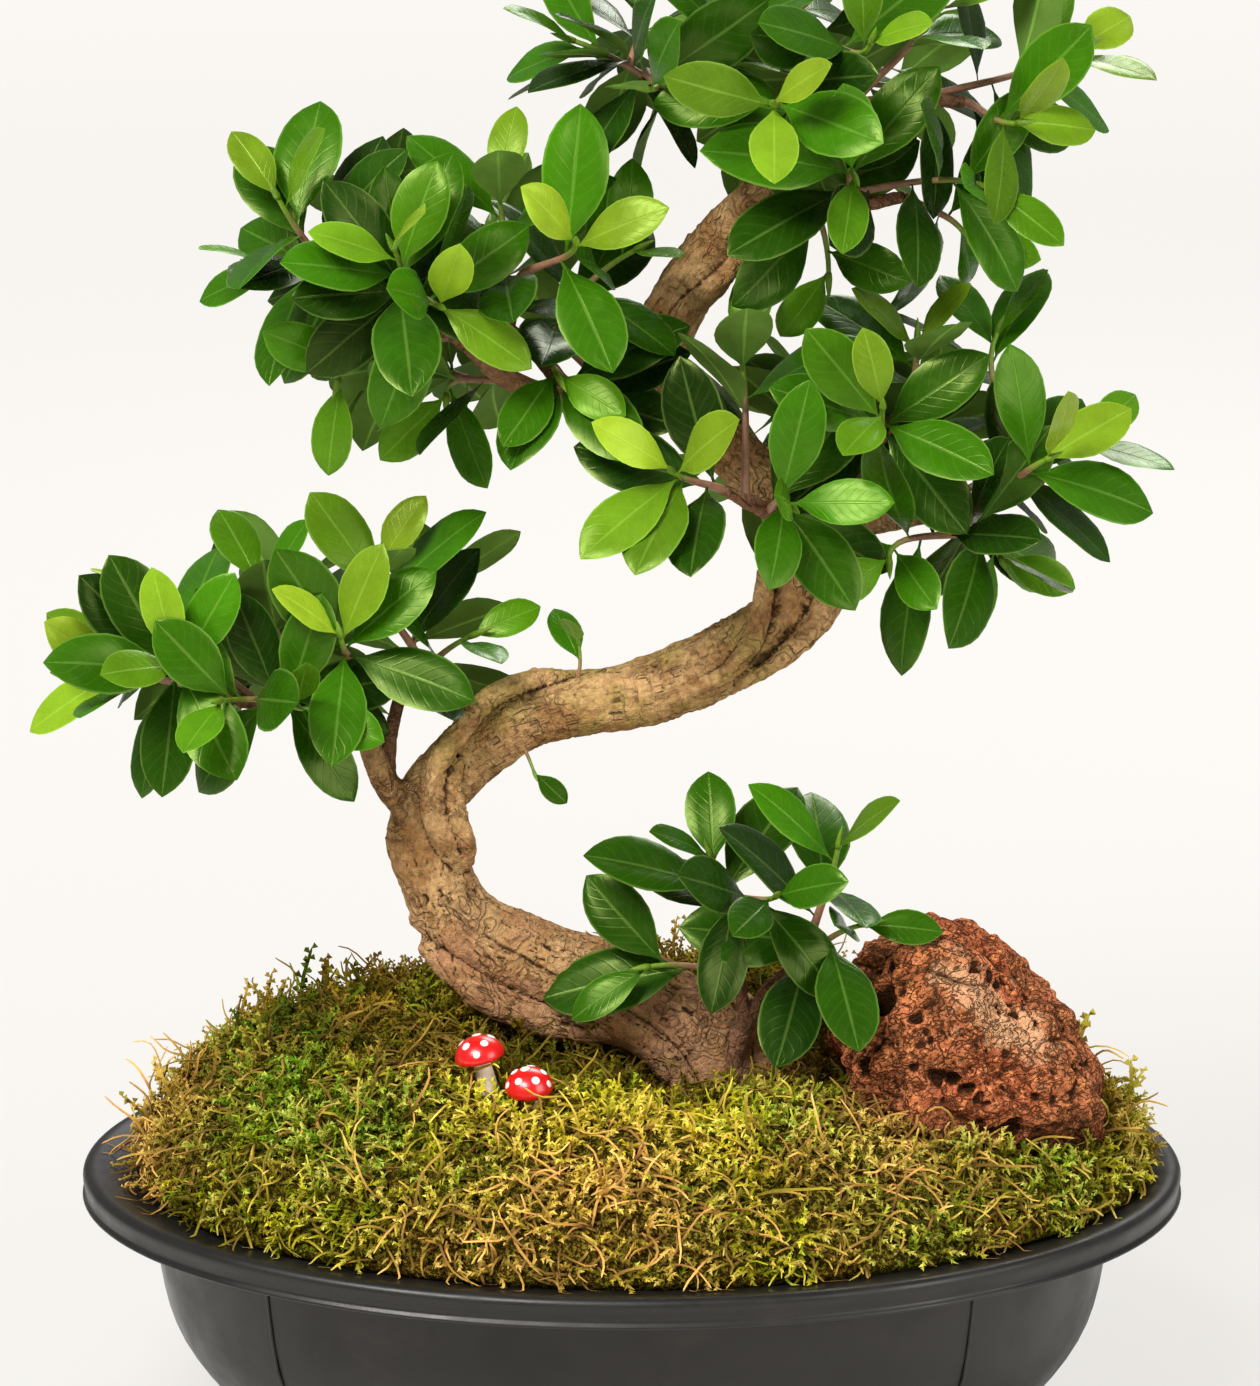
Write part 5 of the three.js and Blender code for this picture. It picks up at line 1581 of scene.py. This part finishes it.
def lay_leaves(blank, leaves, thickness):
    """Points of all the leaves of a spray: folded a little along the midrib, arched and wavy at the margin."""
    row = np.rint((blank.points[:, 0] + 1) / 2 * (len(LEAF_ROWS) - 1)).astype(int)
    share, profile = np.array(LEAF_ROWS)[row].T[:, None]
    side, face = blank.points.T[1:, None]
    root, direction, beside, above = (np.array([leaf[key][:] for leaf in leaves])[:, None, :]
                                      for key in ("root", "direction", "beside", "above"))
    long, wide, arch, tone, twist = (np.array([leaf[key] for leaf in leaves])[:, None]
                                     for key in ("long", "wide", "arch", "tone", "twist"))
    half = 0.51 * wide * profile * MM
    fold = (0.6 - 0.5 * np.abs(side)) * np.abs(side) * (0.7 + 0.9 * twist)
    wave = 0.05 * np.abs(side) * np.sin(9 * share + 6.3 * tone + 2 * np.sign(side))
    rib = np.where(np.abs(side) < 0.2, 1.0, 0.7)
    skin = 0.5 * thickness * face * rib * np.where(share < 0.1, 1.2, 1)
    curl = (twist - 0.5) * 0.25 * share * side * half
    up = -arch * MM * share**2 + (fold + wave) * half * smooth_step(0.08, 0.3, share) + skin + curl
    return (root * MM + direction * (long * MM * share)[..., None] + beside * (half * side)[..., None]
            + above * up[..., None])


def across_leaf(look):
    """How far along the leaf a place is, and how far from the midrib as a share of the half width."""
    uv = look.node("UVMap", uv_map="UVMap").outputs[0]
    return look.part(uv, 0), look.math("ABSOLUTE", look.times(look.math("SUBTRACT", look.part(uv, 1), 0.5), 2))


def leaf_gloss(settings):
    """The upper side: colour by age, pale midrib, faint side veins and a thin pale margin."""
    look = Finish("leaf_gloss", Specular_IOR_Level=0.36, Specular_Tint=GREEN_SHEEN)
    share, side = across_leaf(look)
    ramp = look.node("ValToRGB", {"Fac": look.read("age")})
    stops = [(0, settings.young), (0.16, settings.young * 0.5 + settings.grown * 0.5), (0.34, settings.grown),
             (0.72, settings.grown * 0.35 + settings.old * 0.65), (1, settings.old)]
    for _ in stops[2:]:
        ramp.color_ramp.elements.new(0.5)
    for element, (place, colour) in zip(ramp.color_ramp.elements, stops):
        element.position = place
        element.color = (*colour, 1)
    tone = look.between(look.read("tone"), 0, 1, 0.7, 1.25)
    blade = look.shaded(look.mottled(ramp.outputs[0], 55, 0.84, 1.16), tone)
    phase = look.math("SUBTRACT", look.times(share, 62), look.times(side, 15))
    veins = look.times(look.between(look.math("SINE", phase), 0.72, 1), look.between(side, 0.95, 0.75))
    midrib = look.between(side, 0.075, 0.02)
    mark = look.most(look.times(veins, 0.07), look.times(midrib, 0.5),
                     look.times(look.between(side, 0.9, 0.98), 0.65))
    light = look.blend(1.0, blade, (0.1, 0.15, 0.03), "ADD")
    height = look.math("MULTIPLY_ADD", veins, -0.25, look.times(midrib, -1))
    return look.done(look.blend(mark, blade, light), height, 0.28, 0.0005,
                     look.between(look.grain(160, 3, 0.6), 0.3, 0.7, 0.2, 0.34))


def leaf_underside(settings):
    look = Finish("leaf_underside", Roughness=0.7, Specular_IOR_Level=0.05, Specular_Tint=GREEN_SHEEN)
    midrib = look.between(across_leaf(look)[1], 0.09, 0.03)
    colour = look.coats(settings.under * 1.6, (look.between(look.read("age"), 0.1, 0.6), settings.under),
                        (midrib, settings.under * 1.9))
    return look.done(look.mottled(colour, 70, 0.85, 1.15), midrib, 0.3, 0.0005)


def green_stem(settings, twig):
    """Young stems: green at the tip and brown where they leave the branch."""
    look = Finish("green_stem", Roughness=0.5)
    green = settings.young * 0.45 + settings.grown * 0.55
    colour = look.blend(look.between(look.read("age"), 0.08, 0.45), green, twig * 1.3)
    return look.done(look.mottled(colour, 260, 0.75, 1.25), look.relief(500, 1600), 0.4, 0.0006)


class BONSAI_OT_leaves(bpy.types.Operator):
    """Models the leafy sprays: stems, leaves and end buds"""
    bl_idname = "bonsai.leaves"
    bl_label = "Leafy sprays"

    def execute(self, context):
        shoots = make_shoots()
        crowd = Crowd(bpy.data.objects["wood"])
        for shoot in shoots:
            tips = finder_of(points_of(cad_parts[shoot["name"]].data))
            for i in filter(is_in_solids, range(shoot["leaves"])):
                leaf = leaf_as_built(shoot, i, tips)
                if leaf and (shoot["mass"] != "lower_left" or not crowd.meets_wood(leaf)):
                    crowd.add(shoot, leaf)
        if len(crowd.placed) < FEWEST_FOUND:
            raise RuntimeError("the leaves of the solids were not found")
        for i in range(max(shoot["leaves"] for shoot in shoots) + EXTRA_LEAVES):
            for shoot in shoots:
                if shoot["mass"] in EXTRA_FLOORS and not is_in_solids(i) and i < shoot["leaves"] + EXTRA_LEAVES:
                    leaf = leaf_that_fits(shoot, i, crowd)
                    if leaf:
                        crowd.add(shoot, leaf)
        self.build_sprays(context.scene.bonsai_leaves, context.scene.bonsai_trunk, shoots)
        return {"FINISHED"}

    def build_sprays(self, settings, trunk, shoots):
        blank = leaf_blank()
        tube = Blank(grow_rings("stem", [(0, 0), *[(1, k / 12) for k in range(13)], (0, 1)], 8))
        bud = Blank(grow_rings("bud", [(0, 0), (0.8, 0.02), (1, 0.25), (0.85, 0.5), (0.45, 0.8), (0.12, 0.97),
                                       (0, 1)], 8))
        materials = (leaf_gloss(settings), leaf_underside(settings), green_stem(settings, trunk.twig))
        for name in dict.fromkeys(shoot["name"] for shoot in shoots):
            heap = Heap("age", "tone")
            for shoot in (s for s in shoots if s["name"] == name):
                leaves = shoot["kept"]
                dull = 0.4 * (1 - FRESHNESS.get(name.removeprefix("leafy_spray_"), DULL))
                olders = np.array([min(1, leaf["older"] * (0.75 + 0.5 * leaf["tone"])) for leaf in leaves])
                if leaves:
                    heap.add(blank, lay_leaves(blank, leaves, settings.thickness), age=dull + (1 - dull) * olders,
                             tone=np.array([leaf["tone"] for leaf in leaves]))
                self.add_stem(heap, tube, bud, shoot)
            heap.finish(name.replace("leafy_spray", "foliage"), "leaf", name, *materials)

    def add_stem(self, heap, tube, bud, shoot):
        """Adds a tapering stem and the bud at its end."""
        held = np.array([p[:] for p in shoot["points"]]) * MM
        slim = 0.6 if shoot["size"] < 0.7 else 1
        side = np.array([across_for((shoot["points"][3] - shoot["points"][0]).normalized())[:]])
        shares = tube.points[:, 2]
        widths = slim * MM * (1.9 - 0.9 * shares)[None, :, None]
        points = carry(tube, lambda s: bezier(held, s[None, :, None]), side, widths, 0, 1)
        heap.add(tube, points, slot_shift=2, age=(1 - shares)[None, :], tone=0.5)
        way = np.array(bezier_way(shoot["points"], 1)[:])
        reach = slim * (8 + 5 * ((shoot["index"] * 0.618) % 1)) * MM
        start = held[3] - way * 1.5 * MM
        points = carry(bud, lambda s: start + way * reach * s[None, :, None], side, slim * 1.5 * MM)
        heap.add(bud, points, slot_shift=2, age=0.0, tone=0.8)


# Stage


def glowing_paper(settings):
    """Pale paper that takes soft shadows, and is lit evenly for the camera except round the bowl, where its glow is
    dimmed as painted shade.
    """
    look = Finish("floor_paper", Roughness=0.95, Specular_IOR_Level=0.05, Emission_Strength=1.0)
    far = look.node("VectorMath", {0: look.here}, operation="LENGTH").outputs["Value"]
    # Painted shade: the camera's glow dims towards the bowl
    glow = look.blend(look.math("POWER", 0.745, far), settings.floor * settings.glow,
                      settings.floor * settings.shaded_near_glow)
    look.link(look.seen_directly(glow, (0, 0, 0)), look.shader["Emission Color"])
    tint = look.mottled(settings.floor * 0.18, 2, 0.995, 1.005)
    return look.done(look.seen_directly(tint, settings.floor * 0.85))


def studio_world(settings):
    """A pale background for the camera, and dim light from all round."""
    world = bpy.data.worlds.new("studio")
    world.use_nodes = True
    look = Look(world.node_tree)
    dim = [settings.ambient * share for share in (1, 0.985, 0.965)]
    look.link(look.seen_directly(settings.floor, dim), world.node_tree.nodes["Background"].inputs[0])
    return world


class BONSAI_OT_stage(bpy.types.Operator):
    """Sets the pale floor, the soft lights and the camera"""
    bl_idname = "bonsai.stage"
    bl_label = "Floor, lights and camera"

    def execute(self, context):
        settings = context.scene.bonsai_stage
        deselect()
        bpy.ops.mesh.primitive_plane_add(size=60)
        floor = take_active("floor")
        clothe(floor, glowing_paper(settings))
        context.scene.world = studio_world(settings)
        aim = Vector((0, 0, settings.aim_height))
        for name, place, size, power in (
            ("key_softbox", (-1.2, -1.6, 2.3), (1.6, 0.9), settings.key),
            ("fill_softbox", (1.9, -1.4, 1.2), (1.4, 1.4), 0.3 * settings.key),
            ("back_softbox", (0.5, 1.8, 2.1), (1.2, 1.2), 0.35 * settings.key),
        ):
            bpy.ops.object.light_add(type="AREA", location=place)
            lamp = take_active(name)
            lamp.data.shape = "RECTANGLE"
            lamp.data.size, lamp.data.size_y = size
            lamp.data.energy = power
            lamp.rotation_euler = (aim - Vector(place)).to_track_quat("-Z", "Y").to_euler()
        flat, steep = math.cos(settings.elevation), math.sin(settings.elevation)
        bpy.ops.object.camera_add(location=(-0.0008, -settings.distance * flat,
                                            settings.aim_height + settings.distance * steep))
        camera = take_active("camera")
        camera.rotation_euler = (math.pi / 2 - settings.elevation, 0, 0)
        camera.data.lens = settings.lens
        camera.data.sensor_width = 36
        camera.data.clip_end = 100
        context.scene.camera = camera
        context.scene.view_settings.view_transform = "Standard"
        return {"FINISHED"}


class BONSAI_PT_panel(bpy.types.Panel):
    """Lists the bonsai's pieces and their settings"""
    bl_label = "Ficus Bonsai"
    bl_idname = "BONSAI_PT_panel"
    bl_space_type = "VIEW_3D"
    bl_region_type = "UI"
    bl_category = "Bonsai"

    def draw(self, context):
        for operator, key, _ in STEPS:
            box = self.layout.box()
            box.operator(operator.bl_idname)
            settings = getattr(context.scene, key)
            for name in settings.bl_rna.properties.keys():
                if name not in ("rna_type", "name"):
                    box.prop(settings, name)


# What main() does in order, with the name and the kind of each step's settings
STEPS = (
    (BONSAI_OT_stage, "bonsai_stage", StageSettings),
    (BONSAI_OT_bowl, "bonsai_bowl", BowlSettings),
    (BONSAI_OT_rock, "bonsai_rock", RockSettings),
    (BONSAI_OT_toadstools, "bonsai_toadstools", ToadstoolSettings),
    (BONSAI_OT_wood, "bonsai_trunk", TrunkSettings),
    (BONSAI_OT_moss, "bonsai_moss", MossSettings),
    (BONSAI_OT_leaves, "bonsai_leaves", LeafSettings),
)


def register():
    for operator, key, kind in STEPS:
        bpy.utils.register_class(kind)
        setattr(bpy.types.Scene, key, PointerProperty(type=kind))
        bpy.utils.register_class(operator)
    bpy.utils.register_class(BONSAI_PT_panel)


def unregister():
    bpy.utils.unregister_class(BONSAI_PT_panel)
    for operator, key, kind in reversed(STEPS):
        bpy.utils.unregister_class(operator)
        delattr(bpy.types.Scene, key)
        bpy.utils.unregister_class(kind)


def main():
    register()
    for operator, *_ in STEPS:
        getattr(bpy.ops.bonsai, operator.bl_idname.removeprefix("bonsai."))()


if __name__ == "__main__":
    main()
